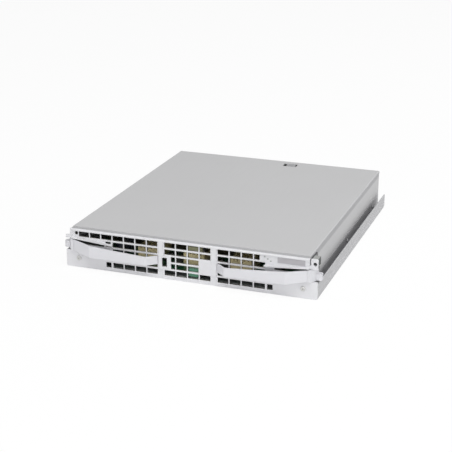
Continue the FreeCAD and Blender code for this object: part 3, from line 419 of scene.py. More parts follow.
def punched_panel():
    # The worn edges are near white: partly wear, and partly a painted highlight along the panel's edges.
    material = coated("panel_coat", rgb(221, 221, 224), rough=0.45, wear=0.6,
                      under=(0.95, 0.95, 0.96, 1.0))
    tree, shader, tone = ready_to_paint(material)
    place = split(tree, on_object(tree))
    looks = facing(tree)
    middle_z = (panel_low.z + panel_high.z) / 2
    half_height = (panel_high.z - panel_low.z) / 2
    edge_on = math_node(tree, "LESS_THAN", size_of(tree, looks["Y"]), 0.5)
    in_sheet = math_node(tree, "GREATER_THAN", place["Y"], panel_face_y + COAT_DEPTH)
    in_width = math_node(tree, "LESS_THAN", size_of(tree, place["X"]), SLOTS_END_AT_X)
    in_height = math_node(tree, "COMPARE", place["Z"], middle_z, half_height - PANEL_RIM)
    # Painted shade: the walls of the slots are bare metal painted dark, as the shade inside the slots.
    bare_and_painted_shade = product(tree, edge_on, in_sheet, in_width, in_height)
    # Painted highlight: slot walls that look up are painted paler, as light falling from above.
    painted_light_from_above = ramp(tree, looks["Z"], start=0.3, end=0.9)
    painted_light_and_shade_edge_tone = colour_mix(tree, painted_light_from_above, rgb(92, 92, 94), rgb(158, 154, 148))
    wire(tree, shader, Base_Color=colour_mix(tree, bare_and_painted_shade, tone, painted_light_and_shade_edge_tone),
         Metallic=math_node(tree, "MULTIPLY", bare_and_painted_shade, 0.4))
    return material


panel_coat = punched_panel()
print("panel finish ready")

# %% [markdown]
# The levers carry the panel's pale coat, a little coarser over the cast surface. The rails are
# drawn metal with lines along them, the brackets and the spring are darker steel, and the screws
# are bright with zinc.

# %% Finishes of the outside
tray_metal = sheet_metal("tray_sheet", rgb(188, 189, 191), rough=0.42, metallic=0.4)
rail_metal = sheet_metal("rail_drawn", rgb(176, 176, 178), rough=0.42, metallic=0.4, fineness=1500.0)
lever_coat = coated("lever_coat", rgb(218, 218, 222), rough=0.42, fineness=900.0)
bracket_metal = sheet_metal("bracket_sheet", rgb(88, 88, 90), rough=0.42, metallic=0.5, along_x=1.0)
spring_metal = sheet_metal("spring_sheet", rgb(150, 150, 152), rough=0.34, metallic=0.9, along_x=1.0)
screw_metal = sheet_metal("screw_steel", rgb(206, 206, 204), rough=0.38, metallic=0.6, wear=0.6)
rivet_metal = sheet_metal("rivet_metal", rgb(188, 188, 190), rough=0.36, metallic=0.8)
label_film = moulded("label_film", rgb(168, 166, 170), rough=0.55)
print("outside finishes ready")

# %% [markdown]
# The board is green laminate with its copper showing as slightly paler tracks under the
# lacquer. A drawn picture of the tracks would need a file, so they are a brick pattern, and the
# tinned pads are the hearts of the cells of a Voronoi pattern.

# %% Finish of the board
def board_laminate():
    material, tree, shader = new_material("board_laminate", Coat_Weight=0.4, Coat_Roughness=0.15)
    place = on_object(tree)
    tracks = add(tree, "ShaderNodeTexBrick", {"offset": 0.37}, Vector=place,
                 Color1=(0, 0, 0, 1), Color2=(0.4, 0.4, 0.4, 1), Mortar=(1, 1, 1, 1),
                 Scale=60.0, Mortar_Size=0.03).outputs
    pads = add(tree, "ShaderNodeTexVoronoi", Vector=place, Scale=420.0).outputs["Distance"]
    lacquer = colour_mix(tree, tracks["Color"], rgb(24, 88, 58), rgb(52, 128, 88))
    tinned = colour_mix(tree, ramp(tree, pads, start=0.16, end=0.1), lacquer, rgb(186, 188, 170))
    wire(tree, shader, Base_Color=tinned, Roughness=ramp(tree, tracks["Fac"], low=0.28, high=0.42))
    bump(tree, shader, tracks["Fac"], strength=0.3, distance=0.03 * MM)
    return material


board_finish = board_laminate()
print("board finish ready")

# %% [markdown]
# The gasket behind each ear is conductive cloth over foam. Modelled threads would be thousands of
# faces for a piece as small as a thumbnail, so two crossed waves make the weave. Dust lies on top.

# %% Finish of the ear gaskets
def woven_gasket():
    material, tree, shader = new_material("gasket_cloth", Roughness=0.7, Metallic=0.3)
    place = on_object(tree)
    threads = [add(tree, "ShaderNodeTexWave", {"bands_direction": axis}, Vector=place, Scale=900.0)
               for axis in ("X", "Z")]
    weave = product(tree, *(thread.outputs["Fac"] for thread in threads))
    cloth = colour_mix(tree, weave, rgb(56, 59, 59), rgb(104, 108, 106))
    dust = ramp(tree, facing(tree)["Z"], high=0.75, start=0.3, end=0.9)
    wire(tree, shader, Base_Color=colour_mix(tree, dust, cloth, rgb(172, 173, 172)))
    bump(tree, shader, weave, strength=0.5, distance=0.1 * MM)
    return material


gasket_finish = woven_gasket()
print("gasket finish ready")

# %% [markdown]
# The light pipes are clear moulded plastic. In a housing they look milky, because little light
# comes from behind, so they let only a third through and have a fine haze.

# %% Finish of the light pipes
def lamp_plastic():
    material, tree, shader = new_material("lamp_pipe", Roughness=0.12, IOR=1.49,
                                          Transmission_Weight=0.35)
    haze = noise(tree, on_object(tree), scale=700.0)
    wire(tree, shader, Base_Color=colour_mix(tree, haze, rgb(196, 204, 200), rgb(222, 228, 224)))
    return material


lamp_finish = lamp_plastic()
print("light pipe finish ready")

# %% [markdown]
# The other parts inside are of the three families again. Some show as a colour through the slots
# of the panel, and the rest are as such parts usually are.

# %% Finishes of the inside
chip_mould = moulded("chip_mould", rgb(38, 38, 40), rough=0.5)
sink_black = coated("sink_anodised", rgb(44, 44, 47), rough=0.45, wear=0.3, coat=0.0)
power_tan = coated("power_plate", rgb(242, 226, 176), rough=0.45, wear=0.2)
sleeve = moulded("can_sleeve", rgb(42, 44, 58), rough=0.35)
tan_mould = moulded("connector_mould", rgb(196, 188, 164), rough=0.42)
black_mould = moulded("black_mould", rgb(32, 32, 32), rough=0.45)
socket_cast = sheet_metal("socket_zinc", rgb(158, 158, 160), rough=0.42, metallic=0.8)
bar_metal = sheet_metal("bar_sheet", rgb(92, 88, 76), rough=0.42, metallic=0.5, along_x=1.0)
brass_plate = sheet_metal("plated_brass", rgb(190, 172, 120), rough=0.3, metallic=0.9)
gold_contact = sheet_metal("gold_contact", rgb(214, 178, 96), rough=0.24, metallic=1.0, fineness=2600.0)
tin_contact = sheet_metal("tin_contact", rgb(188, 188, 186), rough=0.3, metallic=0.9)
khaki_tape = moulded("winding_tape", rgb(174, 173, 138), rough=0.5, fineness=900.0)
ferrite = moulded("ferrite", rgb(64, 62, 60), rough=0.5, fineness=1200.0)
mint_mould = moulded("header_mould", rgb(138, 192, 166), rough=0.4)
print("inside finishes ready")

# %% [markdown]
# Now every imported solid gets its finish. Numbered and mirrored ones share the start of their
# name, so the table lists starts, and the longest that fits is taken: a heat sink's screws are
# then not taken for a heat sink.

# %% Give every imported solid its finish
FINISHES = {
    "base_tray": tray_metal, "top_cover": cover_metal, "front_panel": panel_coat,
    "cover_catch": spring_metal, "label_plate": label_film, "lamp_holder": black_mould,
    "main_board": board_finish, "front_bar": bar_metal, "board_standoffs": brass_plate,
    "board_screws": screw_metal, "heat_sink_screws": screw_metal, "cover_screws": screw_metal,
    "rail_rivets": rivet_metal, "panel_screws": screw_metal, "power_inlet": black_mould,
    "guide_rail": rail_metal, "ejector_lever": lever_coat, "pivot_bracket": bracket_metal,
    "pivot_pin": screw_metal, "ear_gasket": gasket_finish, "guide_socket": socket_cast,
    "switch_chip": chip_mould, "heat_sink": sink_black, "power_module": power_tan,
    "capacitor": sleeve, "backplane_connector": tan_mould, "status_lamp": lamp_finish,
}

for name, solid in nodes.items():
    start = max((key for key in FINISHES if name.startswith(key)), key=len)
    solid.data.materials.clear()
    solid.data.materials.append(FINISHES[start])
print("finished solids:", len(nodes))

# %% [markdown]
# From here on, small pieces are modelled by hand. A primitive is added and its place is applied at
# once, so that its mesh holds true coordinates. Faces and edges are then picked by where they lie,
# which stays readable and survives a change of size.

# %% Starting a piece and picking its parts
def start_piece(name, kind, materials, **settings):
    """Adds one primitive with nothing else selected, names it and lists its materials."""
    bpy.ops.object.select_all(action="DESELECT")
    getattr(bpy.ops.mesh, "primitive_" + kind + "_add")(**settings)
    piece = bpy.context.active_object
    piece.name = name
    piece.data.name = name
    for material in materials:
        piece.data.materials.append(material)
    bpy.ops.object.transform_apply(location=True, rotation=True, scale=True)
    return piece


def block(name, low, high, *materials):
    """A block between two corners, in millimetres."""
    low = Vector(low) * MM
    high = Vector(high) * MM
    return start_piece(name, "cube", materials, size=1.0, location=(low + high) / 2, scale=high - low)


def pick(piece, test, kind="FACE"):
    """In edit mode, selects only the faces or edges whose middle (mm) and direction pass a test."""
    bpy.ops.mesh.select_mode(type=kind)
    bpy.ops.mesh.select_all(action="DESELECT")
    mesh = bmesh.from_edit_mesh(piece.data)
    mesh.normal_update()
    for part in (mesh.faces if kind == "FACE" else mesh.edges):
        points = [corner.co for corner in part.verts]
        middle = sum(points, Vector()) / len(points) / MM
        way = part.normal if kind == "FACE" else (points[1] - points[0]).normalized()
        if test(middle, way):
            part.select_set(True)
    bmesh.update_edit_mesh(piece.data)


print("picking helpers ready")

# %% [markdown]
# The tests that come back most often get names. A face is picked by the way it looks and an edge
# by the way it runs, and a direction counts as along an axis when nearly all of it lies there.

# %% Common tests for picking
ALONG = 0.9
ACROSS = 0.1
NEAR = 0.01


def up(middle, way):
    return way.z > ALONG


def down(middle, way):
    return way.z < -ALONG


def upright(middle, way):
    return abs(way.z) > ALONG


def sideways(middle, way):
    return abs(way.x) > ALONG


def anywhere(middle, way):
    return True


print("a direction is along an axis from", ALONG)

# %% [markdown]
# These helpers shape a piece. A modifier could stay live, but it is applied at once, so the mesh
# holds what is seen and the next step can pick from it.

# %% Shaping a piece
def extrude(x=0.0, y=0.0, z=0.0):
    """Extrudes the picked faces by a move in millimetres."""
    bpy.ops.mesh.extrude_region_move(TRANSFORM_OT_translate={"value": (x * MM, y * MM, z * MM)})


def paint(piece, material):
    """Gives the picked faces one of the piece's materials."""
    piece.active_material_index = piece.data.materials.find(material.name)
    bpy.ops.object.material_slot_assign()


def choose(piece):
    """Makes one object the only selected and active one."""
    bpy.ops.object.select_all(action="DESELECT")
    piece.select_set(True)
    bpy.context.view_layer.objects.active = piece


def modified(piece, kind, **settings):
    """Gives a piece a modifier with its settings and applies it."""
    choose(piece)
    bpy.ops.object.modifier_add(type=kind)
    modifier = piece.modifiers[-1]
    for key, value in settings.items():
        setattr(modifier, key, value)
    bpy.ops.object.modifier_apply(modifier=modifier.name)


def cut_with(piece, cutter):
    """Cuts a shape out of a piece."""
    modified(piece, "BOOLEAN", object=cutter, operation="DIFFERENCE")
    bpy.data.objects.remove(cutter)


def repeat(piece, count, step):
    """A row of the piece, a step in millimetres apart."""
    modified(piece, "ARRAY", count=count, use_relative_offset=False, use_constant_offset=True,
             constant_offset_displace=Vector(step) * MM)


print("shaping helpers ready")

# %% [markdown]
# A copy gets its own mesh with its place in it, because the export puts every object back at the
# origin. A finished piece is shaded smooth up to an angle, in radians, that is a hair over thirty
# degrees: the steps of a bevel then blend, and true edges stay sharp.

# %% Copying and finishing a piece
SMOOTH_ANGLE = 0.5236


def copy_of(piece, name, move, turn=(0, 0, 0)):
    """A copy with its own mesh, turned and moved (metres), with its place in its mesh."""
    choose(piece)
    bpy.ops.object.duplicate(linked=False)
    twin = bpy.context.active_object
    twin.name = name
    twin.data.name = name
    twin.rotation_euler = turn
    twin.location = move
    bpy.ops.object.transform_apply(location=True, rotation=True, scale=False)
    return twin


def joined(name, pieces):
    """Several objects as one."""
    choose(pieces[0])
    for piece in pieces[1:]:
        piece.select_set(True)
    bpy.ops.object.join()
    pieces[0].name = name
    pieces[0].data.name = name
    return pieces[0]


def done(piece):
    """Smooth shading and the ride on the chassis."""
    choose(piece)
    bpy.ops.object.shade_smooth_by_angle(angle=SMOOTH_ANGLE)
    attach(piece, "chassis")


print("finishing helpers ready")

# %% [markdown]
# Screws and rivets are plain shanks in the construction model. A screw could be lathed from a
# profile, but a cylinder whose rim is bevelled and whose underside is inset and drawn out gives
# the same form in three steps. Its cross recess is cut last by two tapered bars. All of them are
# made head up at the origin.

# %% Recess, head and shank
BAR_BREADTH = 0.24
BAR_FLOOR = 0.62
OVERSHOOT = 0.5


def cross_recess(screw, top, reach, depth):
    """Cuts two crossed bars, narrower at their floor, into the head."""
    breadth = reach * BAR_BREADTH
    for half_x, half_y in ((reach, breadth), (breadth, reach)):
        bar = block("recess_bar", (-half_x, -half_y, top - depth), (half_x, half_y, top + OVERSHOOT))
        bpy.ops.object.mode_set(mode="EDIT")
        pick(bar, down)
        bpy.ops.transform.resize(value=(BAR_FLOOR, BAR_FLOOR, 1.0))
        bpy.ops.object.mode_set(mode="OBJECT")
        cut_with(screw, bar)


def domed_head(name, material, sides, radius, height, rounding):
    """A disc on the origin whose upper rim is rounded. It stays in edit mode."""
    head = start_piece(name, "cylinder", [material], vertices=sides, radius=radius * MM,
                       depth=height * MM, location=(0, 0, height / 2 * MM))
    bpy.ops.object.mode_set(mode="EDIT")
    pick(head, lambda middle, way: middle.z > height - NEAR and abs(way.z) < ACROSS, "EDGE")
    bpy.ops.mesh.bevel(offset=rounding * MM, segments=3, affect="EDGES")
    return head


def draw_shank(head, radius, shank, length):
    """Draws the shank out of the underside of a head, and leaves edit mode."""
    pick(head, lambda middle, way: down(middle, way) and middle.z < NEAR)
    bpy.ops.mesh.inset(thickness=(radius - shank) * MM)
    extrude(z=-length)
    bpy.ops.object.mode_set(mode="OBJECT")


print("fastener helpers ready")

# %% [markdown]
# The panel has pan heads, domed and sitting on the sheet. The lid has countersunk heads, level
# with it, which start from a cone. The rails have blind rivets, with the sunk end of the pulled
# pin in the middle of the dome.

# %% One screw or rivet of each kind
def pan_screw(radius, height, shank, length):
    screw = domed_head("pan_screw", screw_metal, 28, radius, height, rounding=height * 0.45)
    draw_shank(screw, radius, shank, length)
    cross_recess(screw, top=height, reach=radius * 0.55, depth=height * 0.55)
    return screw


def flat_screw(radius, height, shank, length):
    screw = start_piece("flat_screw", "cone", [screw_metal], vertices=28, radius1=shank * MM,
                        radius2=radius * MM, depth=height * MM, location=(0, 0, -height / 2 * MM))
    bpy.ops.object.mode_set(mode="EDIT")
    pick(screw, down)
    extrude(z=-length)
    pick(screw, up)
    bpy.ops.mesh.inset(thickness=radius * 0.08 * MM, depth=-0.04 * MM)
    bpy.ops.object.mode_set(mode="OBJECT")
    cross_recess(screw, top=0.0, reach=radius * 0.62, depth=height * 0.6)
    return screw


def blind_rivet(radius, height, shank, length):
    rivet = domed_head("blind_rivet", rivet_metal, 24, radius, height, rounding=height * 0.8)
    pick(rivet, lambda middle, way: up(middle, way) and middle.z > height - NEAR)
    bpy.ops.mesh.inset(thickness=radius * 0.3 * MM)
    extrude(z=-height * 0.45)
    draw_shank(rivet, radius, shank, length)
    return rivet


print("fasteners ready")

# %% [markdown]
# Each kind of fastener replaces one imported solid. The places of its copies are worked out from
# the box of that solid, so they sit where the plain shanks sat.

# %% Setting fasteners out
def set_out(pattern, name, node, places):
    """Copies a fastener to its places, each with the way its head looks, as one piece."""
    copies = []
    for place, way in places:
        turn = Vector(way).to_track_quat("Z", "Y").to_euler()
        copies.append(copy_of(pattern, name, place, turn))
    bpy.data.objects.remove(pattern)
    whole = joined(name, copies)
    done(whole)
    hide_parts(node)
    print(name, len(places), "copies,", len(whole.data.polygons), "faces")


print("ready to set fasteners out")

# %% [markdown]
# Two pan-head screws hold the lower corners of the panel. Their seat is the panel's face, and
# the box of the solid gives the height of the head before it and the shank behind it.

# %% Screws of the front panel
PAN_RADIUS = 4.0
PAN_SHANK = 2.0
low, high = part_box("panel_screws")
screw_x = high.x - PAN_RADIUS * MM
screw_z = (low.z + high.z) / 2
pan = pan_screw(PAN_RADIUS, height=(panel_face_y - low.y) / MM, shank=PAN_SHANK,
                length=(high.y - panel_face_y) / MM)
set_out(pan, "panel_screws_recessed", "panel_screws",
        [((side * screw_x, panel_face_y, screw_z), (0, -1, 0)) for side in (-1, 1)])

# %% [markdown]
# Two countersunk screws hold each side of the lid. The face of a head is at the side of the solid's
# box, and the middles of the screws lie a head's radius inside the ends of the box.

# %% Countersunk screws of the lid
FLAT_RADIUS = 3.0
low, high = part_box("cover_screws")
screw_z = (low.z + high.z) / 2
screw_rows = (low.y + FLAT_RADIUS * MM, high.y - FLAT_RADIUS * MM)
flat = flat_screw(FLAT_RADIUS, height=1.2, shank=1.5, length=4.1)
set_out(flat, "cover_screws_recessed", "cover_screws",
        [((side * high.x, y, screw_z), (side, 0, 0)) for side in (-1, 1) for y in screw_rows])

# %% [markdown]
# Three blind rivets hold each rail, one near each end and one in the middle. They stand proud of
# the rail by the height of their heads, so their seat is that far inside the box.

# %% Blind rivets of the rails
RIVET_RADIUS = 3.0
RIVET_HEAD = 0.9
low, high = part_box("rail_rivets")
rivet_z = (low.z + high.z) / 2
rivet_rows = (low.y + RIVET_RADIUS * MM, (low.y + high.y) / 2, high.y - RIVET_RADIUS * MM)
seat_x = high.x - RIVET_HEAD * MM
rivet = blind_rivet(RIVET_RADIUS, RIVET_HEAD, shank=1.6, length=3.6)
set_out(rivet, "rail_rivets_domed", "rail_rivets",
        [((side * seat_x, y, rivet_z), (side, 0, 0)) for side in (-1, 1) for y in rivet_rows])

# %% [markdown]
# Each slot of a backplane connector holds a comb of contact fingers. One comb is a strip whose
# upright edges are divided, so that every second field can be drawn out as a finger. It is set
# in a row for the slots of one connector, and the row is copied to all of them.

# %% Contacts of the backplane connectors
SLOTS = 5
SLOT_STEP = 4.5
FINGERS = 8
FINGER_LENGTH = 3.4
STRIP_HALF = 0.4
STRIP_BACK = 9.0
STRIP_FACE = 6.2
STRIP_MARGIN = 2.4


def contact_row(name, low, high):
    """The combs of one connector, each set back from its mating face at the rear."""
    x = (low.x + high.x) / 2 / MM - SLOT_STEP * (SLOTS - 1) / 2
    rear, bottom, top = high.y / MM, low.z / MM + STRIP_MARGIN, high.z / MM - STRIP_MARGIN
    comb = block(name, (x - STRIP_HALF, rear - STRIP_BACK, bottom),
                 (x + STRIP_HALF, rear - STRIP_FACE, top), tan_mould, gold_contact)
    bpy.ops.object.mode_set(mode="EDIT")
    pick(comb, upright, "EDGE")
    bpy.ops.mesh.subdivide(number_cuts=2 * FINGERS - 1)
    field = (top - bottom) / (2 * FINGERS)
    pick(comb, lambda middle, way: way.y > ALONG and int((middle.z - bottom) / field) % 2 == 1)
    extrude(y=FINGER_LENGTH)
    pick(comb, lambda middle, way: middle.y > rear - STRIP_FACE + NEAR)
    paint(comb, gold_contact)
    bpy.ops.object.mode_set(mode="OBJECT")
    repeat(comb, SLOTS, (SLOT_STEP, 0, 0))
    return comb


connectors = sorted(name for name in nodes if name.startswith("backplane_connector"))
first_low, first_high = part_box(connectors[0])
pattern = contact_row("contact_pattern", first_low, first_high)
for name in connectors:
    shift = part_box(name)[0] - first_low
    contacts = copy_of(pattern, name.replace("backplane_connector", "contact_combs"), shift)
    done(contacts)
bpy.data.objects.remove(pattern)
print("contact combs on", len(connectors), "connectors")

# %% [markdown]
# The supply connector has four flat blades instead. Their rear edge is bevelled, so that they
# find their way into the springs of the other half.

# %% Blades of the supply connector
BLADES = 4
BLADE_STEP = 6.0
BLADE_HALF = 0.6
BLADE_BACK = 9.0
BLADE_TIP = 1.2
BLADE_MARGIN = 4.2
low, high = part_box("power_inlet")
rear = high.y / MM
blade_x = (low.x + high.x) / 2 / MM - BLADE_STEP * (BLADES - 1) / 2
blade = block("inlet_blades", (blade_x - BLADE_HALF, rear - BLADE_BACK, low.z / MM + BLADE_MARGIN),
              (blade_x + BLADE_HALF, rear - BLADE_TIP, high.z / MM - BLADE_MARGIN), tin_contact)
bpy.ops.object.mode_set(mode="EDIT")
pick(blade, lambda middle, way: middle.y > rear - BLADE_TIP - NEAR, "EDGE")
bpy.ops.mesh.bevel(offset=0.4 * MM, segments=2, affect="EDGES")
bpy.ops.object.mode_set(mode="OBJECT")
repeat(blade, BLADES, (BLADE_STEP, 0, 0))
done(blade)
print("blades:", len(blade.data.polygons), "faces")

# %% [markdown]
# A can capacitor has a bare top with a scored star that opens when the can fails. A disc made as a
# fan of triangles has the star in its edges already: four of them are widened, and the disc gets
# its thickness and a narrow rim.

# %% Scored tops of the capacitors
TOP_RADIUS = 6.6
TOP_THICKNESS = 0.18
SEAT_GAP = 0.02
SCORE_REACH = 5.0
SCORE_WIDTH = 0.35
SQUARE = 0.99


def capacitor_top(name, low, high):
    centre = Vector(((low.x + high.x) / 2, (low.y + high.y) / 2, high.z))
    disc = start_piece(name, "circle", [tin_contact], vertices=24, radius=TOP_RADIUS * MM,
                       fill_type="TRIFAN", location=(centre.x, centre.y, high.z + SEAT_GAP * MM))

    def on_star(middle, way):
        square = abs(way.x) > SQUARE or abs(way.y) > SQUARE
        return square and (middle - centre / MM).length < SCORE_REACH

    bpy.ops.object.mode_set(mode="EDIT")
    pick(disc, on_star, "EDGE")
    bpy.ops.mesh.bevel(offset=SCORE_WIDTH * MM, segments=2, affect="EDGES")
    pick(disc, anywhere)
    extrude(z=TOP_THICKNESS)
    bpy.ops.mesh.inset(thickness=0.5 * MM, depth=0.0)
    bpy.ops.object.mode_set(mode="OBJECT")
    return disc


cans = sorted(name for name in nodes if name.startswith("capacitor"))
for name in cans:
    low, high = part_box(name)
    done(capacitor_top(name.replace("capacitor", "can_top"), low, high))
print("scored tops on", len(cans), "capacitors")

# %% [markdown]
# Through the slots of the panel a pale block shows behind the middle: the taped winding of the
# supply's transformer. It stands on the middle module between two dark ferrite cheeks. Wound
# turns would not be seen under the tape, so it is a block with rounded edges and raised ends.

# %% Winding of the transformer on the middle power module
WINDING_LEFT, WINDING_RIGHT = -13.0, 12.0
WINDING_SETBACK = 1.0
WINDING_DEPTH = 20.0
WINDING_HEIGHT = 11.0
RAISED_ENDS = (1.03, 0.94, 0.94)
low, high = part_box("power_module_2")
front = low.y / MM + WINDING_SETBACK
floor_z = high.z / MM
winding = block("transformer_winding", (WINDING_LEFT, front, floor_z),
                (WINDING_RIGHT, front + WINDING_DEPTH, floor_z + WINDING_HEIGHT), khaki_tape)
bpy.ops.object.mode_set(mode="EDIT")
pick(winding, lambda middle, way: abs(way.x) < ACROSS and middle.z > floor_z + 1.0, "EDGE")
bpy.ops.mesh.bevel(offset=1.6 * MM, segments=3, affect="EDGES")
pick(winding, sideways)
bpy.ops.mesh.inset(thickness=0.6 * MM)
extrude()
bpy.ops.transform.resize(value=RAISED_ENDS)
bpy.ops.object.mode_set(mode="OBJECT")
done(winding)
print("transformer stands at z =", round(floor_z, 1), "mm")

# %% [markdown]
# The two cheeks are the ends of the transformer's core. They are the same block with its edges
# broken, modelled once at the right end and repeated at the left.

# %% Ferrite cheeks of the transformer
CHEEK_LEFT, CHEEK_RIGHT = 12.4, 15.4
CHEEK_SPACING = 28.8
CHEEK_SETBACK = 2.0
CHEEK_HEIGHT = 9.0
cheek = block("transformer_core", (CHEEK_LEFT, front + CHEEK_SETBACK, floor_z),
              (CHEEK_RIGHT, front + WINDING_DEPTH - CHEEK_SETBACK, floor_z + CHEEK_HEIGHT), ferrite)
bpy.ops.object.mode_set(mode="EDIT")
pick(cheek, anywhere, "EDGE")
bpy.ops.mesh.bevel(offset=0.5 * MM, segments=2, affect="EDGES")
bpy.ops.object.mode_set(mode="OBJECT")
repeat(cheek, 2, (-CHEEK_SPACING, 0, 0))
done(cheek)
print("cheeks:", len(cheek.data.polygons), "faces")

# %% [markdown]
# A mint header straddles the front edge of the board. Its long edges are divided, so the front
# falls into fields, and each field is inset and sunk as a socket. The slit that takes the board is
# cut last, because a clean block is easier to divide.

# %% Header on the board's front edge
HEADER_LEFT, HEADER_RIGHT = -3.0, 15.0
HEADER_BOTTOM, HEADER_TOP = 6.5, 20.0
HEADER_BEFORE, HEADER_BEHIND = 4.0, 5.0
SOCKETS = 9
SLIT_PLAY = 0.1
SLIT_OVERSHOOT = 1.0
edge_y = board_low.y / MM
header = block("edge_header", (HEADER_LEFT, edge_y - HEADER_BEFORE, HEADER_BOTTOM),
               (HEADER_RIGHT, edge_y + HEADER_BEHIND, HEADER_TOP), mint_mould)
bpy.ops.object.mode_set(mode="EDIT")
pick(header, sideways, "EDGE")
bpy.ops.mesh.subdivide(number_cuts=SOCKETS - 1)
pick(header, lambda middle, way: way.y < -ALONG)
bpy.ops.mesh.inset(thickness=0.7 * MM, depth=-1.6 * MM, use_individual=True)
bpy.ops.object.mode_set(mode="OBJECT")
slit = block("header_slit",
             (HEADER_LEFT - SLIT_OVERSHOOT, edge_y - SLIT_PLAY, board_low.z / MM - SLIT_PLAY),
             (HEADER_RIGHT + SLIT_OVERSHOOT, edge_y + HEADER_BEHIND + SLIT_OVERSHOOT,
              board_high.z / MM + SLIT_PLAY))
cut_with(header, slit)
done(header)
print("header:", len(header.data.polygons), "faces")

# %% [markdown]
# Small parts stand on the free board between the modules. Each kind is modelled once at the
# origin and copied to its places, which are written in millimetres as on an assembly drawing.

# %% Setting parts out on the board
board_z = board_high.z / MM


def stand_on_board(pattern, stem, places):
    """Copies a part to its places on the board, numbers the copies and removes the pattern."""
    for number, (x, y) in enumerate(places, 1):
        done(copy_of(pattern, f"{stem}_{number}", Vector((x, y, board_z)) * MM))
    bpy.data.objects.remove(pattern)
    print(stem, len(places), "copies at z =", round(board_z, 1), "mm")


print("ready to stand parts on the board")

# %% [markdown]
# A shielded coil is a squat ferrite block with round corners. Its top is inset twice: once for the
# flat border, and once more, sunk, for the lid that closes the winding.

# %% Shielded coils
COIL_HALF = 6.0
COIL_HEIGHT = 7.0
COIL_Y = -190
coil = block("coil_pattern", (-COIL_HALF, -COIL_HALF, 0.0), (COIL_HALF, COIL_HALF, COIL_HEIGHT), ferrite)
bpy.ops.object.mode_set(mode="EDIT")
pick(coil, upright, "EDGE")
bpy.ops.mesh.bevel(offset=2.2 * MM, segments=2, affect="EDGES")
pick(coil, up)
bpy.ops.mesh.inset(thickness=0.7 * MM)
bpy.ops.mesh.inset(thickness=0.9 * MM, depth=-0.6 * MM)
bpy.ops.object.mode_set(mode="OBJECT")
stand_on_board(coil, "shielded_coil", [(x, COIL_Y) for x in (-52, -32, 28, 48)])

# %% [markdown]
# A flat chip has legs along two sides. The long edges are divided, and every second field of the
# side walls is drawn out along its own normal, flattened and lowered: that is a leg.

# %% Flat chips with bent legs
LEGS = 8
CHIP_HALF_LENGTH = 8.0
CHIP_HALF_WIDTH = 3.6
CHIP_BOTTOM, CHIP_TOP = 0.5, 2.8
LEG_LENGTH = 0.9
LEG_DROP = 0.95
LEG_FLATNESS = 0.35
CHIP_Y = -166
flat_chip = block("chip_pattern", (-CHIP_HALF_LENGTH, -CHIP_HALF_WIDTH, CHIP_BOTTOM),
                  (CHIP_HALF_LENGTH, CHIP_HALF_WIDTH, CHIP_TOP), chip_mould, tin_contact)
bpy.ops.object.mode_set(mode="EDIT")
pick(flat_chip, sideways, "EDGE")
bpy.ops.mesh.subdivide(number_cuts=2 * LEGS)
field = 2 * CHIP_HALF_LENGTH / (2 * LEGS + 1)
pick(flat_chip, lambda middle, way: abs(way.y) > ALONG and
     int((middle.x + CHIP_HALF_LENGTH) / field) % 2 == 1)
bpy.ops.mesh.extrude_faces_move(TRANSFORM_OT_shrink_fatten={"value": LEG_LENGTH * MM})
bpy.ops.transform.resize(value=(1.0, 1.0, LEG_FLATNESS))
bpy.ops.transform.translate(value=(0, 0, -LEG_DROP * MM))
pick(flat_chip, lambda middle, way: abs(middle.y) > CHIP_HALF_WIDTH + NEAR)
paint(flat_chip, tin_contact)
bpy.ops.object.mode_set(mode="OBJECT")
stand_on_board(flat_chip, "flat_chip", [(x, CHIP_Y) for x in (-53, -31, 27, 49)])

# %% [markdown]
# A chip resistor is a dark block with tinned ends. The body is divided along its length, and the
# end fields are painted. They are too small to be pieces of their own, so rows of them are one.

# %% Rows of chip resistors
RESISTOR_HALF_LENGTH = 1.6
RESISTOR_HALF_WIDTH = 0.8
RESISTOR_HEIGHT = 0.9
RESISTOR_FIELDS = 5
TIN_STARTS = 0.9
IN_ROW = 8
ROW_STEP = 5.0
ROW_GAP = 2.8
FRONT_Y, MIDDLE_Y = -216, -151
resistor = block("resistor_pattern", (-RESISTOR_HALF_LENGTH, -RESISTOR_HALF_WIDTH, 0.0),
                 (RESISTOR_HALF_LENGTH, RESISTOR_HALF_WIDTH, RESISTOR_HEIGHT), chip_mould, tin_contact)
bpy.ops.object.mode_set(mode="EDIT")
pick(resistor, sideways, "EDGE")
bpy.ops.mesh.subdivide(number_cuts=RESISTOR_FIELDS - 1)
pick(resistor, lambda middle, way: abs(middle.x) > TIN_STARTS)
paint(resistor, tin_contact)
pick(resistor, lambda middle, way: abs(middle.x) > RESISTOR_HALF_LENGTH - NEAR)
bpy.ops.mesh.inset(thickness=0.2 * MM)
bpy.ops.object.mode_set(mode="OBJECT")
repeat(resistor, IN_ROW, (ROW_STEP, 0, 0))
repeat(resistor, 2, (0, ROW_GAP, 0))
front_rows = [(x, FRONT_Y) for x in (-160, -76, 38, 118)]
middle_rows = [(x, MIDDLE_Y) for x in (-60, 20)]
stand_on_board(resistor, "resistor_row", front_rows + middle_rows)

# %% [markdown]
# The floor is plain and pale. The photograph stands on pure white, so rays from the camera see
# white there, mixed with the true floor so that the module keeps a soft shadow. Polished metal
# and clear plastic have to show the same white, so their rays are treated alike.

# %% Floor
FLOOR_GLOW = 0.92
FLOOR_SIZE = 12.0
FLOOR_TONE = (0.9, 0.9, 0.9, 1.0)
WHITE = (1.0, 1.0, 1.0, 1.0)


def seen_directly(tree):
    """One for rays that come from the camera, a reflection or clear plastic, and else nought."""
    path = add(tree, "ShaderNodeLightPath").outputs
    seen = math_node(tree, "MAXIMUM", path["Is Camera Ray"], path["Is Glossy Ray"])
    return math_node(tree, "MAXIMUM", seen, path["Is Transmission Ray"])


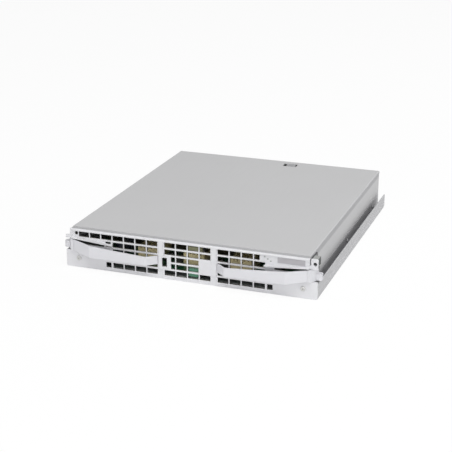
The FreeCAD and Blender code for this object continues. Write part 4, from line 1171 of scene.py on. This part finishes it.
def pale_floor():
    material, tree, shader = new_material("floor_pale", Roughness=0.9, Base_Color=FLOOR_TONE)
    glow = add(tree, "ShaderNodeEmission", Color=WHITE, Strength=1.0)
    amount = math_node(tree, "MULTIPLY", seen_directly(tree), FLOOR_GLOW)
    blend = add(tree, "ShaderNodeMixShader", values=[amount, shader.outputs[0], glow.outputs[0]])
    wire(tree, first_of(tree, "OUTPUT_MATERIAL"), Surface=blend.outputs[0])
    return material


bpy.ops.object.select_all(action="DESELECT")
bpy.ops.mesh.primitive_plane_add(size=FLOOR_SIZE, location=(0, 0, 0))
floor = bpy.context.active_object
floor.name = "floor"
floor.data.materials.append(pale_floor())
print("floor laid")

# %% [markdown]
# The world gives a low, even light to every side, and looks white where the camera or a polished
# surface sees it. A stronger world would do that too, but it would wash out the shadows and bleach
# the pale panel, so only the rays that see it get the white.

# %% World
AMBIENT = 0.36
world = bpy.data.worlds.new("studio")
world.use_nodes = True
bpy.context.scene.world = world
world_tree = world.node_tree
rest_of_white = math_node(world_tree, "MULTIPLY", seen_directly(world_tree), 1.0 - AMBIENT)
wire(world_tree, first_of(world_tree, "BACKGROUND"), Color=WHITE,
     Strength=math_node(world_tree, "ADD", AMBIENT, rest_of_white))
print("ambient light:", AMBIENT)

# %% [markdown]
# A large softbox high over the front lights the top and, more weakly, the front. A second one
# stands low in front and reaches under the levers. The third, at the right and further back,
# lifts the side wall and leaves the levers alone. All three are wide, and so no brighter to look
# at than the white room: the satin lid shows no hot spot from any side.

# %% Lamps
AIM = Vector((0, -0.1, 0.03))


def softbox(name, place, size, power):
    """A square soft lamp that points at the front half of the module."""
    data = bpy.data.lights.new(name, "AREA")
    data.size = size
    data.energy = power
    lamp = bpy.data.objects.new(name, data)
    lamp.location = place
    lamp.rotation_euler = (AIM - Vector(place)).to_track_quat("-Z", "Y").to_euler()
    bpy.context.scene.collection.objects.link(lamp)


softbox("key_lamp", (0.52, -1.00, 2.63), size=2.2, power=52.0)
softbox("front_lamp", (0.71, -2.75, 0.75), size=2.2, power=22.5)
softbox("side_lamp", (2.0, 1.43, 1.00), size=2.4, power=23.0)
bpy.context.scene.view_settings.view_transform = "Standard"
print("studio ready")
